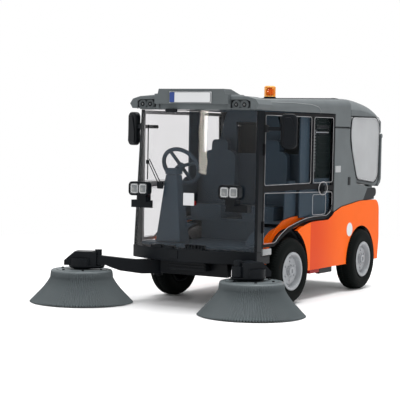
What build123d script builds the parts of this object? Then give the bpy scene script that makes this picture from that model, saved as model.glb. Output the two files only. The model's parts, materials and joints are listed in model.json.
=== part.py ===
from build123d import *

import math
import os

os.makedirs("parts", exist_ok=True)

# Frame: origin on the ground below the middle of the wheelbase, front -Y, left +X, up +Z.
# All sizes are millimetres.

# ---------------------------------------------------------------- driving dimensions
WHEELBASE = 125.0
FRONT_Y = -WHEELBASE / 2
REAR_Y = WHEELBASE / 2
TYRE_RADIUS = 24.2
TYRE_WIDTH = 15.0
WHEEL_FACE_X = 54.4          # outer plane of the wheels
RIM_RADIUS = 14.05
AXLE_Z = TYRE_RADIUS
STEER_REST = -3.9            # front wheels stand turned a little to the right

WALL = 2.4                   # moulded wall
GAP = 0.4                    # between neighbours that do not touch
RUNNING = 0.06               # radial play of a pin in its bore

BODY_X = 51.0                # outer side of the lower body
DOOR_X = 50.4                # outer side of the doors and fairing
DOOR_FRONT_Y = -104.8
DOOR_REAR_Y = 11.4
DOOR_TOP_Z = 138.4
DOOR_SILL_Z = 43.4
BELT_Z = 85.0
CAB_REAR_Y = -28.0
FAIRING_FRONT_Y = DOOR_REAR_Y + 0.9
FAIRING_TOP_Z = 128.4
HOPPER_FRONT_Y = 41.0
REAR_END_Y = 99.0
ROOF_REAR_Z = 151.5
ROOF_FRONT_Z = 147.5
BUMPER_LOW_Z = 32.0
BUMPER_TOP_Z = 41.0
DECK_LOW_Z = 31.0            # underside of the chassis deck
DECK_TOP_Z = 34.0

SIDES = (("left", 1), ("right", -1))


def save(piece, label):
    """Label a finished piece and write it to its own file."""
    piece.part.label = label
    export_step(piece.part, f"parts/{label}.step")


def bowed_band(half_x, corner_y, middle_y, thickness):
    """Sketch of a sheet that bows forward between its two corners."""
    with BuildSketch() as band:
        with BuildLine():
            outer = ThreePointArc((-half_x, corner_y), (0, middle_y), (half_x, corner_y))
            inner = ThreePointArc(
                (-half_x, corner_y + thickness), (0, middle_y + thickness), (half_x, corner_y + thickness)
            )
            Line(outer @ 0, inner @ 0)
            Line(outer @ 1, inner @ 1)
        make_face()
    return band.sketch


# ---------------------------------------------------------------- wheels
RIM_BARREL = 13.2            # tyre seat
RIM_LIP = 2.0                # width of the tapered seat at each side
BEAD = 0.6                   # step of the tyre over the rim's lip
TYRE_FLATS = 56              # the tread is faceted, with a flat on the ground
SHOULDER_DEPTH = 1.6         # radial drop of the upper and lower shoulder
SHOULDER_WIDTH = 4.0
SIDE_DROP = 4.4
SIDE_WIDTH = 1.2
HUB_DISC_OUT = 3.0           # recess of the disc behind the wheel's outer plane
HUB_DISC = 2.2
HUB_RADIUS = 4.2
HUB_HEIGHT = 2.0
HUB_CHAMFER = 0.6
HUB_BACK = 1.0               # boss behind the disc
SPINDLE_RADIUS = 1.6
SPINDLE_HEAD = 0.4           # plastic left in front of the spindle's end
CAVITY_RADIUS = 11.8

# name, side, axle y, turn about Z of the wheel at rest
WHEELS = [
    ("front_left", 1, FRONT_Y, STEER_REST),
    ("front_right", -1, FRONT_Y, STEER_REST),
    ("rear_left", 1, REAR_Y, 0.0),
    ("rear_right", -1, REAR_Y, 0.0),
]
KINGPIN_X = 43.0
WHEEL_MID_X = WHEEL_FACE_X - TYRE_WIDTH / 2
HALF = TYRE_WIDTH / 2
DISC_TOP = HALF - HUB_DISC_OUT
DISC_LOW = DISC_TOP - HUB_DISC


def wheel_plane(side, axle_y, turn):
    """Plane on the wheel's middle: its Z points out of the vehicle along the wheel's axis."""
    a = math.radians(turn)
    out = Vector(side * math.cos(a), side * math.sin(a), 0)
    pivot = Vector(side * KINGPIN_X, axle_y, AXLE_Z)
    centre = pivot + out * (WHEEL_MID_X - KINGPIN_X)
    return Plane(origin=centre, x_dir=(0, 0, 1), z_dir=out)


def faceted_drum(plane, half_profile):
    """Loft of regular polygons along the wheel's axis, the same on both sides of the plane."""
    other_half = [(radius, -out) for radius, out in reversed(half_profile)]
    with BuildPart() as drum:
        for radius, out in half_profile + other_half:
            with BuildSketch(plane.offset(out)):
                RegularPolygon(radius, TYRE_FLATS, major_radius=False, rotation=180 / TYRE_FLATS)
        loft(ruled=True)
    return drum.part


# Halves of the profiles: (radius, distance out along the axis)
TYRE_OUTSIDE = [
    (TYRE_RADIUS - SIDE_DROP, HALF),
    (TYRE_RADIUS - SHOULDER_DEPTH, HALF - SIDE_WIDTH),
    (TYRE_RADIUS, HALF - SHOULDER_WIDTH),
]
TYRE_SEAT = [(RIM_RADIUS, HALF), (RIM_RADIUS, HALF - BEAD), (RIM_BARREL, HALF - RIM_LIP)]
RIM_PROFILE = [
    (0, DISC_TOP + HUB_HEIGHT),
    (HUB_RADIUS - HUB_CHAMFER, DISC_TOP + HUB_HEIGHT),
    (HUB_RADIUS, DISC_TOP + HUB_HEIGHT - HUB_CHAMFER),
    (HUB_RADIUS, DISC_TOP),
    (CAVITY_RADIUS - 0.8, DISC_TOP),
    (CAVITY_RADIUS, HALF - BEAD),
    (CAVITY_RADIUS + 0.4, HALF),
    (RIM_RADIUS, HALF),
    (RIM_RADIUS, HALF - BEAD),
    (RIM_BARREL, HALF - RIM_LIP),
    (RIM_BARREL, RIM_LIP - HALF),
    (CAVITY_RADIUS, RIM_LIP - HALF),
    (CAVITY_RADIUS, DISC_LOW),
    (HUB_RADIUS, DISC_LOW),
    (HUB_RADIUS, DISC_LOW - HUB_BACK),
    (SPINDLE_RADIUS + RUNNING, DISC_LOW - HUB_BACK),
    (SPINDLE_RADIUS + RUNNING, DISC_TOP + SPINDLE_HEAD),
    (0, DISC_TOP + SPINDLE_HEAD),
]

for label, side, axle_y, turn in WHEELS:
    plane = wheel_plane(side, axle_y, turn)
    profile = Plane(origin=plane.origin, x_dir=(0, 0, 1), z_dir=plane.x_dir.cross(plane.z_dir))

    with BuildPart() as tyre:
        add(faceted_drum(plane, TYRE_OUTSIDE))
        add(faceted_drum(plane, TYRE_SEAT), mode=Mode.SUBTRACT)
    save(tyre, f"tyre_{label}")

    with BuildPart() as rim:
        with BuildSketch(profile):
            with BuildLine():
                Polyline(*RIM_PROFILE, close=True)
            make_face()
        revolve(axis=Axis(plane.origin, plane.z_dir))
    save(rim, f"rim_{label}")

# ---------------------------------------------------------------- axles and knuckles
BEAM = 5.0                   # square section of the axle beams
BEAM_END = 3.2               # thickness of the beam where it meets its kingpin ring
REAR_BEAM_LENGTH = 76.0
MOUNT_LENGTH = 20.0          # block between each beam and the deck
MOUNT_WIDTH = 9.0
KNUCKLE_RING = 3.2
RING_GAP = 0.3
KINGPIN_RADIUS = 1.5
FLANGE_RADIUS = 4.6
FLANGE = 1.4
FLANGE_GAP = 0.1
SPINDLE_END = HALF - HUB_DISC_OUT + 0.1
SPINDLE_START = KINGPIN_X - WHEEL_MID_X + KNUCKLE_RING + RING_GAP + 0.2

with BuildPart() as front_axle:
    with Locations((0, FRONT_Y, AXLE_Z)):
        Box(2 * KINGPIN_X, BEAM, BEAM)
    with Locations((0, FRONT_Y, (AXLE_Z + DECK_LOW_Z) / 2)):
        Box(MOUNT_LENGTH, MOUNT_WIDTH, DECK_LOW_Z - AXLE_Z)
    for side in (1, -1):
        with Locations((side * KINGPIN_X, FRONT_Y, AXLE_Z)):
            Cylinder(FLANGE_RADIUS + 0.5, 2 * BEAM, mode=Mode.SUBTRACT)
            Cylinder(KNUCKLE_RING, BEAM)
        with Locations((side * (KINGPIN_X - BEAM_END), FRONT_Y, AXLE_Z)):
            Box(2 * BEAM_END, BEAM_END, BEAM)
        with Locations((side * KINGPIN_X, FRONT_Y, AXLE_Z)):
            Cylinder(KINGPIN_RADIUS + RUNNING, 2 * BEAM, mode=Mode.SUBTRACT)
save(front_axle, "front_axle")

for label, side, axle_y, turn in WHEELS[:2]:
    plane = wheel_plane(side, axle_y, turn)
    pivot_x = side * KINGPIN_X
    gap_half = BEAM / 2 + FLANGE_GAP
    with BuildPart() as knuckle:
        with Locations((pivot_x, axle_y, AXLE_Z)):
            Cylinder(KINGPIN_RADIUS, 2 * gap_half + 2 * FLANGE)
        with Locations(*[(pivot_x, axle_y, AXLE_Z + s * (gap_half + FLANGE / 2)) for s in (1, -1)]):
            Cylinder(FLANGE_RADIUS, FLANGE)
        # outer half of a sleeve round the beam's ring
        with BuildSketch(Plane.XY.offset(AXLE_Z - gap_half)):
            with Locations((pivot_x, axle_y)):
                Circle(FLANGE_RADIUS)
                Circle(KNUCKLE_RING + RING_GAP, mode=Mode.SUBTRACT)
            with Locations((pivot_x - side * (FLANGE_RADIUS - 1.6), axle_y)):
                Rectangle(2 * FLANGE_RADIUS, 2 * FLANGE_RADIUS + 1, mode=Mode.SUBTRACT)
        extrude(amount=2 * gap_half)
        with BuildSketch(plane.offset(SPINDLE_START)):
            Circle(SPINDLE_RADIUS)
        extrude(amount=SPINDLE_END - SPINDLE_START)
    save(knuckle, f"knuckle_{label.split('_')[1]}")

with BuildPart() as rear_axle:
    with Locations((0, REAR_Y, AXLE_Z)):
        Box(REAR_BEAM_LENGTH, BEAM, BEAM)
        Cylinder(SPINDLE_RADIUS, 2 * (WHEEL_MID_X + SPINDLE_END), rotation=(0, 90, 0))
    with Locations((0, REAR_Y, (AXLE_Z + DECK_LOW_Z) / 2)):
        Box(MOUNT_LENGTH, MOUNT_WIDTH, DECK_LOW_Z - AXLE_Z)
save(rear_axle, "rear_axle")

# ---------------------------------------------------------------- chassis
ARM_PIVOT_X = 34.0
ARM_PIVOT_Y = -106.0
ARM_PIN_RADIUS = 2.0
ARM_ROOT_TOP_Z = 30.6
FLAT_ARM_LOW_Z = 27.2        # underside of the left arm, over its folded brush
DEEP_ARM_LOW_Z = 20.6        # underside of the right arm's root
PIN_HEAD_RADIUS = 3.4
PIN_HEAD = 1.2
CARRIER_Y = -107.5           # cross beam under the front of the deck, between the arms
CARRIER_LOW_Z = 22.0
DISPLAY_HOLE_RADIUS = 1.6
DISPLAY_HOLES_Y = (-30.0, 30.0)

# middle y, width, length of each rectangle of the deck
DECK = [(-8, 52, 206), (-104, 86, 14), (3, 94, 62)]

with BuildPart() as chassis:
    with BuildSketch(Plane.XY.offset(DECK_LOW_Z)):
        for middle_y, width, length in DECK:
            with Locations((0, middle_y)):
                Rectangle(width, length)
        with Locations(*[(0, y) for y in DISPLAY_HOLES_Y]):
            Circle(DISPLAY_HOLE_RADIUS, mode=Mode.SUBTRACT)
    extrude(amount=DECK_TOP_Z - DECK_LOW_Z)
    with Locations((0, CARRIER_Y, (CARRIER_LOW_Z + DECK_LOW_Z) / 2)):
        Box(48, 6, DECK_LOW_Z - CARRIER_LOW_Z)
    for side, arm_low_z in ((1, FLAT_ARM_LOW_Z), (-1, DEEP_ARM_LOW_Z)):
        pin_low_z = arm_low_z - GAP - PIN_HEAD
        with Locations((side * ARM_PIVOT_X, ARM_PIVOT_Y, (pin_low_z + DECK_LOW_Z) / 2)):
            Cylinder(ARM_PIN_RADIUS, DECK_LOW_Z - pin_low_z)
        with Locations((side * ARM_PIVOT_X, ARM_PIVOT_Y, pin_low_z + PIN_HEAD / 2)):
            Cylinder(PIN_HEAD_RADIUS, PIN_HEAD)
save(chassis, "chassis")

# ---------------------------------------------------------------- front bumper
BUMPER_CORNER_Y = -113.5
BUMPER_MIDDLE_Y = -126.5
BUMPER_REAR_Y = -93.5
BUMPER_WALL = 4.0
LAMP_CUT_Z = 37.5            # the corner lamps sit in a cut from here up

with BuildPart() as front_bumper:
    with BuildSketch(Plane.XY.offset(BUMPER_LOW_Z)):
        inner_x = BODY_X - BUMPER_WALL
        inner_y = BUMPER_CORNER_Y + BUMPER_WALL / 2
        with BuildLine():
            front = ThreePointArc((-BODY_X, BUMPER_CORNER_Y), (0, BUMPER_MIDDLE_Y), (BODY_X, BUMPER_CORNER_Y))
            Polyline(front @ 1, (BODY_X, BUMPER_REAR_Y), (inner_x, BUMPER_REAR_Y), (inner_x, inner_y))
            ThreePointArc((inner_x, inner_y), (0, BUMPER_MIDDLE_Y + BUMPER_WALL), (-inner_x, inner_y))
            Polyline((-inner_x, inner_y), (-inner_x, BUMPER_REAR_Y), (-BODY_X, BUMPER_REAR_Y), front @ 0)
        make_face()
    extrude(amount=BUMPER_TOP_Z - BUMPER_LOW_Z)
    for side in (1, -1):
        with Locations((side * BODY_X, -98, LAMP_CUT_Z)):
            Box(16, 15, 9, align=(Align.CENTER, Align.CENTER, Align.MIN), mode=Mode.SUBTRACT)
save(front_bumper, "front_bumper")

# ---------------------------------------------------------------- cab
SCREEN = 1.6
SCREEN_TOP_Z = 139.0
# half width, corner y, middle y of the windscreen's outer face
SCREEN_LOW = (49.0, -113.6, -125.6)
SCREEN_HIGH = (46.8, -109.4, -120.6)


def screen_y(x, z):
    """Outer face of the windscreen, taken as a parabola between its corners."""
    t = (z - BUMPER_TOP_Z) / (SCREEN_TOP_Z - BUMPER_TOP_Z)
    half_x, corner_y, middle_y = [low + t * (high - low) for low, high in zip(SCREEN_LOW, SCREEN_HIGH)]
    return middle_y + (corner_y - middle_y) * (x / half_x) ** 2


with BuildPart() as windscreen:
    with BuildSketch(Plane.XY.offset(BUMPER_TOP_Z)):
        add(bowed_band(*SCREEN_LOW, SCREEN))
    with BuildSketch(Plane.XY.offset(SCREEN_TOP_Z)):
        add(bowed_band(*SCREEN_HIGH, SCREEN))
    loft(ruled=True)
save(windscreen, "windscreen")

# Door hinges: a barrel on the door turns in a hollow of the pillar
HINGE_BARREL = 1.1
HINGE_HOLLOW = 1.3
HINGE_LENGTH = 8.0
DOOR_HINGES_Z = (58.0, 112.0)

# Plan of a pillar at its foot and head, from the outer front corner round to the inner one
PILLAR_LOW = [(50.8, -112.6), (49.1, -113.6), (49.1, -111.9), (48.0, -110.5)]
PILLAR_HIGH = [(48.6, -108.6), (46.9, -109.4), (46.9, -107.7), (46.4, -106.6)]
with BuildPart() as cab_pillars:
    for side in (1, -1):
        for height, outline in ((BUMPER_TOP_Z, PILLAR_LOW), (SCREEN_TOP_Z, PILLAR_HIGH)):
            rear = [(side * (DOOR_X - WALL), DOOR_FRONT_Y - GAP), (side * DOOR_X, DOOR_FRONT_Y - GAP)]
            with BuildSketch(Plane.XY.offset(height)):
                with BuildLine():
                    Polyline(*rear, *[(side * x, y) for x, y in outline], close=True)
                make_face()
        loft(ruled=True)
        with Locations(*[(side * DOOR_X, DOOR_FRONT_Y, z) for z in DOOR_HINGES_Z]):
            Cylinder(HINGE_HOLLOW, HINGE_LENGTH + 0.6, mode=Mode.SUBTRACT)
save(cab_pillars, "cab_pillars")

# Front views (x, z) of the board that carries the number plate, and of the lamp pod on each side
BOARD_FRONT_Y = -120.9
BOARD = [(30, 142.9), (30, 150), (27.4, 150.2), (26.6, 153.6)]
POD = [(28, 139.8), (50.5, 139.8), (52.6, 143.2), (50.2, 146.6), (44, 148.4), (28, 149.9)]
# Side views (y, z)
BOARD_SIDE = [(-122, 143), (-122, 154), (-112, 154), (-90, 147.5), (-90, 143)]
POD_SIDE = [(-118, 139.8), (-118, 148.4), (-116, 150), (-110, 150), (-97, 146.4), (-97, 139.8)]
LAMP_RADIUS = 2.3
LAMP_Z = 142.8
LAMP_X = (35.2, 41.6)
RECESS = [(30.4, 140.4), (46.2, 140.4), (46.2, 145.0), (43.5, 146.2), (30.4, 146.2)]
RECESS_DEPTH = 1.6
POD_FRONT_Y = POD_SIDE[0][0]

with BuildPart() as roof_board:
    with BuildSketch(Plane.XZ.offset(-BOARD_FRONT_Y)):
        with BuildLine():
            Polyline(*BOARD, *[(-x, z) for x, z in reversed(BOARD)], close=True)
        make_face()
    extrude(amount=-40)
    with BuildSketch(Plane.YZ.offset(-40)):
        with BuildLine():
            Polyline(*BOARD_SIDE, close=True)
        make_face()
    extrude(amount=80, mode=Mode.INTERSECT)

with BuildPart() as lamp_pods:
    with BuildSketch(Plane.XZ.offset(-POD_FRONT_Y)):
        with BuildLine():
            Polyline(*POD, close=True)
        make_face()
    extrude(amount=-40)
    with BuildSketch(Plane.YZ.offset(20)):
        with BuildLine():
            Polyline(*POD_SIDE, close=True)
        make_face()
    extrude(amount=40, mode=Mode.INTERSECT)
    with BuildSketch(Plane.XZ.offset(-POD_FRONT_Y)):
        with BuildLine():
            Polyline(*RECESS, close=True)
        make_face()
    extrude(amount=-RECESS_DEPTH, mode=Mode.SUBTRACT)
    mirror(about=Plane.YZ)

ROOF_LOW_Z = 139.2
ROOF_EDGE = 6.0              # rounding along the sides
ROOF_INSIDE_Z = 142.8
ROOF_INSIDE_X = 47.8
# Side view of the roof (y, z): it drops over the fairing behind the doors
ROOF_SIDE = [(-126, ROOF_LOW_Z), (-126, ROOF_FRONT_Z - 1), (-100, ROOF_FRONT_Z), (60, ROOF_REAR_Z), (60, 120),
             (FAIRING_FRONT_Y, 120), (FAIRING_FRONT_Y, ROOF_LOW_Z)]
with BuildPart() as cab_roof:
    with BuildSketch(Plane.XY.offset(FAIRING_TOP_Z + 1.0)):
        with BuildLine():
            front = ThreePointArc((-DOOR_X, -108.4), (0, -120.5), (DOOR_X, -108.4))
            Polyline(front @ 1, (DOOR_X, HOPPER_FRONT_Y - 0.5), (-DOOR_X, HOPPER_FRONT_Y - 0.5), front @ 0)
        make_face()
    extrude(amount=30)
    with BuildSketch(Plane.YZ.offset(-60)):
        with BuildLine():
            Polyline(*ROOF_SIDE, close=True)
        make_face()
    extrude(amount=120, mode=Mode.INTERSECT)
    fillet(cab_roof.edges().filter_by(lambda e: e.center().Z > 145 and abs(e.center().X) > 49), ROOF_EDGE)
    with BuildSketch(Plane.XY.offset(120)):
        with BuildLine():
            front = ThreePointArc((-ROOF_INSIDE_X, -106), (0, -117.8), (ROOF_INSIDE_X, -106))
            Polyline(front @ 1, (ROOF_INSIDE_X, HOPPER_FRONT_Y - 3), (-ROOF_INSIDE_X, HOPPER_FRONT_Y - 3),
                     front @ 0)
        make_face()
    extrude(amount=ROOF_INSIDE_Z - 120, mode=Mode.SUBTRACT)
    add(roof_board.part)
    add(lamp_pods.part)
save(cab_roof, "cab_roof")

PLATE_Z = 147.6
PLATE_LENGTH = 34.0
PLATE_HEIGHT = 8.0
PLATE = 1.2
with BuildPart() as number_plate:
    with Locations((0, BOARD_FRONT_Y - PLATE / 2, PLATE_Z)):
        Box(PLATE_LENGTH, PLATE, PLATE_HEIGHT)
save(number_plate, "number_plate")

ROOF_LAMP = 1.8
with BuildPart() as roof_lamps:
    lamp_y = POD_FRONT_Y + RECESS_DEPTH - ROOF_LAMP / 2
    with Locations(*[(side * x, lamp_y, LAMP_Z) for side in (1, -1) for x in LAMP_X]):
        Cylinder(LAMP_RADIUS, ROOF_LAMP, rotation=(90, 0, 0))
save(roof_lamps, "roof_lamps")

BEACON_X = 24.0
BEACON_Y = -47.0
BEACON_RADIUS = 4.0
BEACON_HEIGHT = 8.0
BEACON_FOOT = 1.35
BEACON_EDGE = 1.5
BEACON_Z = ROOF_FRONT_Z + (BEACON_Y + 100) * (ROOF_REAR_Z - ROOF_FRONT_Z) / 160 + 0.15
on_roof = (Align.CENTER, Align.CENTER, Align.MIN)
with BuildPart() as beacon_base:
    with Locations((BEACON_X, BEACON_Y, BEACON_Z)):
        Cylinder(BEACON_RADIUS + 0.5, BEACON_FOOT, align=on_roof)
save(beacon_base, "beacon_base")

with BuildPart() as beacon_lens:
    with Locations((BEACON_X, BEACON_Y, BEACON_Z + BEACON_FOOT)):
        Cylinder(BEACON_RADIUS, BEACON_HEIGHT, align=on_roof)
    fillet(beacon_lens.faces().sort_by(Axis.Z)[-1].edges(), BEACON_EDGE)
save(beacon_lens, "beacon_lens")

# ---------------------------------------------------------------- headlamps
HEADLAMP_X = 36.8
HEADLAMP_FRONT_Y = -130.0
HEADLAMP_Z = 82.4
HEADLAMP = (16.2, 6.4, 10.0)
LENS_DX = 3.6                # two lenses side by side
LENS = (6.4, 1.4, 7.0)
HOLLOW = (13.8, 1.2, 7.4)
POST = (7.0, 9.0, 6.0)
POST_X = 36.0
POST_Z = 76.0
BAR = (17.2, 6.0, 5.4)
BAR_X = 39.0
BAR_Z = 71.2
BAR_Y = -119.0
SCREEN_CUT = (60.0, -108.0, -124.1, 30.0)    # space of the windscreen behind the lamp bars

for label, side in SIDES:
    with BuildPart() as headlamp:
        with Locations((side * HEADLAMP_X, HEADLAMP_FRONT_Y + HEADLAMP[1] / 2, HEADLAMP_Z)):
            Box(*HEADLAMP)
        fillet(headlamp.edges().filter_by(Axis.Y), 3.0)
        fillet(headlamp.faces().sort_by(Axis.Y)[-1].edges(), 1.5)
        with Locations((side * HEADLAMP_X, HEADLAMP_FRONT_Y + HOLLOW[1] / 2, HEADLAMP_Z)):
            Box(*HOLLOW, mode=Mode.SUBTRACT)
        with Locations((side * POST_X, BAR_Y - 3, POST_Z)):
            Box(*POST)
        with Locations((side * BAR_X, BAR_Y, BAR_Z)):
            Box(*BAR)
        with BuildSketch(Plane.XY.offset(60)):
            add(bowed_band(*SCREEN_CUT))
        extrude(amount=30, mode=Mode.SUBTRACT)
    save(headlamp, f"headlamp_{label}")

with BuildPart() as headlamp_lenses:
    lens_y = HEADLAMP_FRONT_Y + HOLLOW[1] - LENS[1] / 2
    lens_x = [side * (HEADLAMP_X + step * LENS_DX) for side in (1, -1) for step in (1, -1)]
    with Locations(*[(x, lens_y, HEADLAMP_Z) for x in lens_x]):
        Box(*LENS)
save(headlamp_lenses, "headlamp_lenses")

# ---------------------------------------------------------------- wiper
# Upright blade held by two links that turn on a foot low on the glass: (x, z) of each end
BLADE = ((-38.3, 134.6), (-37.1, 88.2))
BLADE_SECTION = 1.2
LINKS = [((-37.9, 100.5), (-23.8, 84.0)), ((-37.9, 103.5), (-23.2, 88.5))]
LINK_SECTION = 1.1
BLADE_LIFT = 1.3             # middle of the blade in front of the glass
LINK_LIFT = 2.3
FOOT = (4.0, 2.2, 7.5)


def rod(start, end, lift, section):
    """Square rod in front of the glass, from one (x, z) to another."""
    ends = [Vector(x, screen_y(x, z) - lift, z) for x, z in (start, end)]
    along = ends[1] - ends[0]
    with Locations(Plane(origin=(ends[0] + ends[1]) / 2, x_dir=along, z_dir=along.cross(Vector(0, 1, 0)))):
        Box(along.length, section, section)


with BuildPart() as wiper:
    rod(*BLADE, BLADE_LIFT, BLADE_SECTION)
    for start, end in LINKS:
        rod(start, end, LINK_LIFT, LINK_SECTION)
    foot_x, foot_z = -23.5, 86.2
    with Locations((foot_x, screen_y(foot_x, foot_z) - 1.7, foot_z)):
        Box(*FOOT)
    with Locations((-37.9, screen_y(-37.9, 102) - 1.9, 102)):
        Box(2.0, 2.2, 5.0)
save(wiper, "wiper")

# ---------------------------------------------------------------- inside of the cab
FLOOR_LOW_Z = 41.2
FLOOR = 2.4
FLOOR_TOP_Z = FLOOR_LOW_Z + FLOOR
FLOOR_X = 46.5
TUNNEL_X = 26.4              # the floor narrows to this between the wheel wells
TUNNEL_FRONT_Y = -95.0
WELL_OUTER = 30.6
WELL_INNER = 28.6
WELL_INSIDE_X = 27.0
SEAT_X = 22.0
SEAT_BASE_Z = 57.0
SEAT_Y = -46.0
BULKHEAD_TOP_Z = 142.0

# x size, y size, low z, high z, middle y of the boxes that stand on the floor
BENCH = [
    (52, 28, FLOOR_TOP_Z, SEAT_BASE_Z, -44.0),
    (87, 30, SEAT_BASE_Z, SEAT_BASE_Z + FLOOR, -44.0),
    (52, FLOOR, FLOOR_TOP_Z, BULKHEAD_TOP_Z, CAB_REAR_Y - FLOOR / 2),
    (93, FLOOR, SEAT_BASE_Z, BULKHEAD_TOP_Z, CAB_REAR_Y - FLOOR / 2),
]
# Corners (x, z) of the left and the middle window in the wall behind the seats
SIDE_WINDOW = [(42.5, 108), (27, 108), (27, 117.5), (21.5, 139), (42.5, 139)]
MIDDLE_WINDOW = [(-13, 108), (13, 108), (13, 131.5), (-13, 131.5)]
REAR_WINDOWS = [SIDE_WINDOW, MIDDLE_WINDOW, [(-x, z) for x, z in SIDE_WINDOW]]
with BuildPart() as cab_floor:
    with BuildSketch(Plane.XY.offset(FLOOR_LOW_Z)):
        with BuildLine():
            front = ThreePointArc((-FLOOR_X, -108), (0, -119.5), (FLOOR_X, -108))
            Polyline(front @ 1, (FLOOR_X, TUNNEL_FRONT_Y), (TUNNEL_X, TUNNEL_FRONT_Y),
                     (TUNNEL_X, CAB_REAR_Y), (-TUNNEL_X, CAB_REAR_Y), (-TUNNEL_X, TUNNEL_FRONT_Y),
                     (-FLOOR_X, TUNNEL_FRONT_Y), front @ 0)
        make_face()
    extrude(amount=FLOOR)
    for width, length, low_z, high_z, middle_y in BENCH:
        with Locations((0, middle_y, (low_z + high_z) / 2)):
            Box(width, length, high_z - low_z)
    with BuildSketch(Plane.XZ.offset(-CAB_REAR_Y)):
        for corners in REAR_WINDOWS:
            with BuildLine():
                Polyline(*corners, close=True)
            make_face()
    extrude(amount=FLOOR, mode=Mode.SUBTRACT)
save(cab_floor, "cab_floor")

CUSHION = (26, 26, 10)
BACK_WIDTH = 27.0
BACK_HEIGHT = 48.0
BACK_Z = 86.0
BACK_FRONT_Y = 34.0
BACK = 6.0
HEADREST = (14, 10, 3)       # width, height, corner radius
HEADREST_Z = 113.0
for label, side in SIDES:
    with BuildPart() as seat:
        with Locations((side * SEAT_X, SEAT_Y, SEAT_BASE_Z + FLOOR + CUSHION[2] / 2)):
            Box(*CUSHION)
        with BuildSketch(Plane.XZ.offset(BACK_FRONT_Y)):
            with Locations((side * SEAT_X, BACK_Z)):
                RectangleRounded(BACK_WIDTH, BACK_HEIGHT, 6)
            with Locations((side * SEAT_X, HEADREST_Z)):
                RectangleRounded(*HEADREST)
        extrude(amount=BACK)
    save(seat, f"seat_{label}")

COLUMN_TOP_Z = 92.5
# centre and size (x, y) of the steering column at the floor and at its top
COLUMN_FOOT = ((-23.5, -103.0), (21, 14))
COLUMN_TOP = ((-24.0, -102.0), (9.5, 8))
with BuildPart() as steering_column:
    for height, (centre, size) in ((FLOOR_TOP_Z, COLUMN_FOOT), (COLUMN_TOP_Z, COLUMN_TOP)):
        with BuildSketch(Plane.XY.offset(height)):
            with Locations(centre):
                Rectangle(*size)
    loft(ruled=True)
save(steering_column, "steering_column")

WHEEL_TILT = math.radians(29.0)
GRIP_RADIUS = 14.1
GRIP = 1.5
SPOKE = 1.4
SPOKE_WIDTH = 2.2
SPOKE_ANGLES = (-115, -15, 65)
HUB_RADIUS = 2.8
HUB_HEIGHT = 0.8
HUB_DEPTH = 5.6
COWL_RISE = 4.5
steering_plane = Plane(origin=(-22, -95.3, 98.3), x_dir=(1, 0, 0),
                       z_dir=(0, math.cos(WHEEL_TILT), math.sin(WHEEL_TILT)))
with BuildPart() as steering_wheel:
    with Locations(steering_plane):
        Torus(GRIP_RADIUS, GRIP)
    with BuildSketch(steering_plane.offset(-HUB_DEPTH)):
        Circle(HUB_RADIUS)
    extrude(amount=HUB_DEPTH + HUB_HEIGHT)
    with BuildSketch(steering_plane.offset(-SPOKE / 2)):
        for angle in SPOKE_ANGLES:
            with PolarLocations(GRIP_RADIUS / 2, 1, start_angle=angle):
                Rectangle(GRIP_RADIUS, SPOKE_WIDTH)
    extrude(amount=SPOKE)
    # cowl that carries the hub on the column's top
    with BuildSketch(Plane.XY.offset(COLUMN_TOP_Z)):
        with Locations(COLUMN_TOP[0]):
            Rectangle(*COLUMN_TOP[1])
    extrude(amount=COWL_RISE)
save(steering_wheel, "steering_wheel")

# ---------------------------------------------------------------- lower body
FRONT_ARCH = 30.4
REAR_ARCH = 27.6
SKIRT_Z = 22.0
BODY_WALL = 3.0
BODY_TOP_Z = 70.8

with BuildPart() as body_shell:
    with BuildSketch(Plane.YZ.offset(-BODY_X)):
        with BuildLine():
            Polyline((-50, SKIRT_Z), (REAR_END_Y - 1, SKIRT_Z), (REAR_END_Y + 1, 40), (REAR_END_Y, 62))
            ThreePointArc((REAR_END_Y, 62), (96.6, 68.2), (90, BODY_TOP_Z))
            Polyline((90, BODY_TOP_Z), (60, BODY_TOP_Z), (24.7, 67.1), (FAIRING_FRONT_Y, 63.6), (9.0, 61.5),
                     (2.0, 58.4), (-21.7, 58.2))
            ThreePointArc((-21.7, 58.2), (-36.5, 56.6), (-50, 52.6))
            Line((-50, 52.6), (-50, SKIRT_Z))
        make_face()
        with Locations((FRONT_Y, AXLE_Z)):
            Circle(FRONT_ARCH, mode=Mode.SUBTRACT)
        with Locations((REAR_Y + 1, AXLE_Z - 1)):
            Circle(REAR_ARCH, mode=Mode.SUBTRACT)
        with Locations((REAR_Y + 1, AXLE_Z - 21)):
            Rectangle(2 * REAR_ARCH, 40, mode=Mode.SUBTRACT)
    extrude(amount=2 * BODY_X)
    with BuildSketch(Plane.YZ.offset(-BODY_X + BODY_WALL)):
        with BuildLine():
            Polyline((-60, 0), (REAR_END_Y - 4, 0), (REAR_END_Y - 3, 60), (90, 67.8), (60, 67.8),
                     (24.7, 64.1), (9, 58), (2, 55.4), (-60, 55.4), close=True)
        make_face()
    extrude(amount=2 * (BODY_X - BODY_WALL), mode=Mode.SUBTRACT)
    # the top is open between the side walls, for the cab floor and the hopper
    with Locations((0, 20, 64)):
        Box(88, 142, 22, mode=Mode.SUBTRACT)
save(body_shell, "body_shell")

WELL_WIDTH = 20.0
with BuildPart() as wheel_wells:
    for side in (1, -1):
        with BuildSketch(Plane.YZ.offset(side * WELL_INSIDE_X)):
            with Locations((FRONT_Y, AXLE_Z)):
                Circle(WELL_OUTER)
                Circle(WELL_INNER, mode=Mode.SUBTRACT)
            with Locations((FRONT_Y, AXLE_Z - 20)):
                Rectangle(80, 52, mode=Mode.SUBTRACT)
        extrude(amount=side * WELL_WIDTH)
save(wheel_wells, "wheel_wells")

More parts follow.
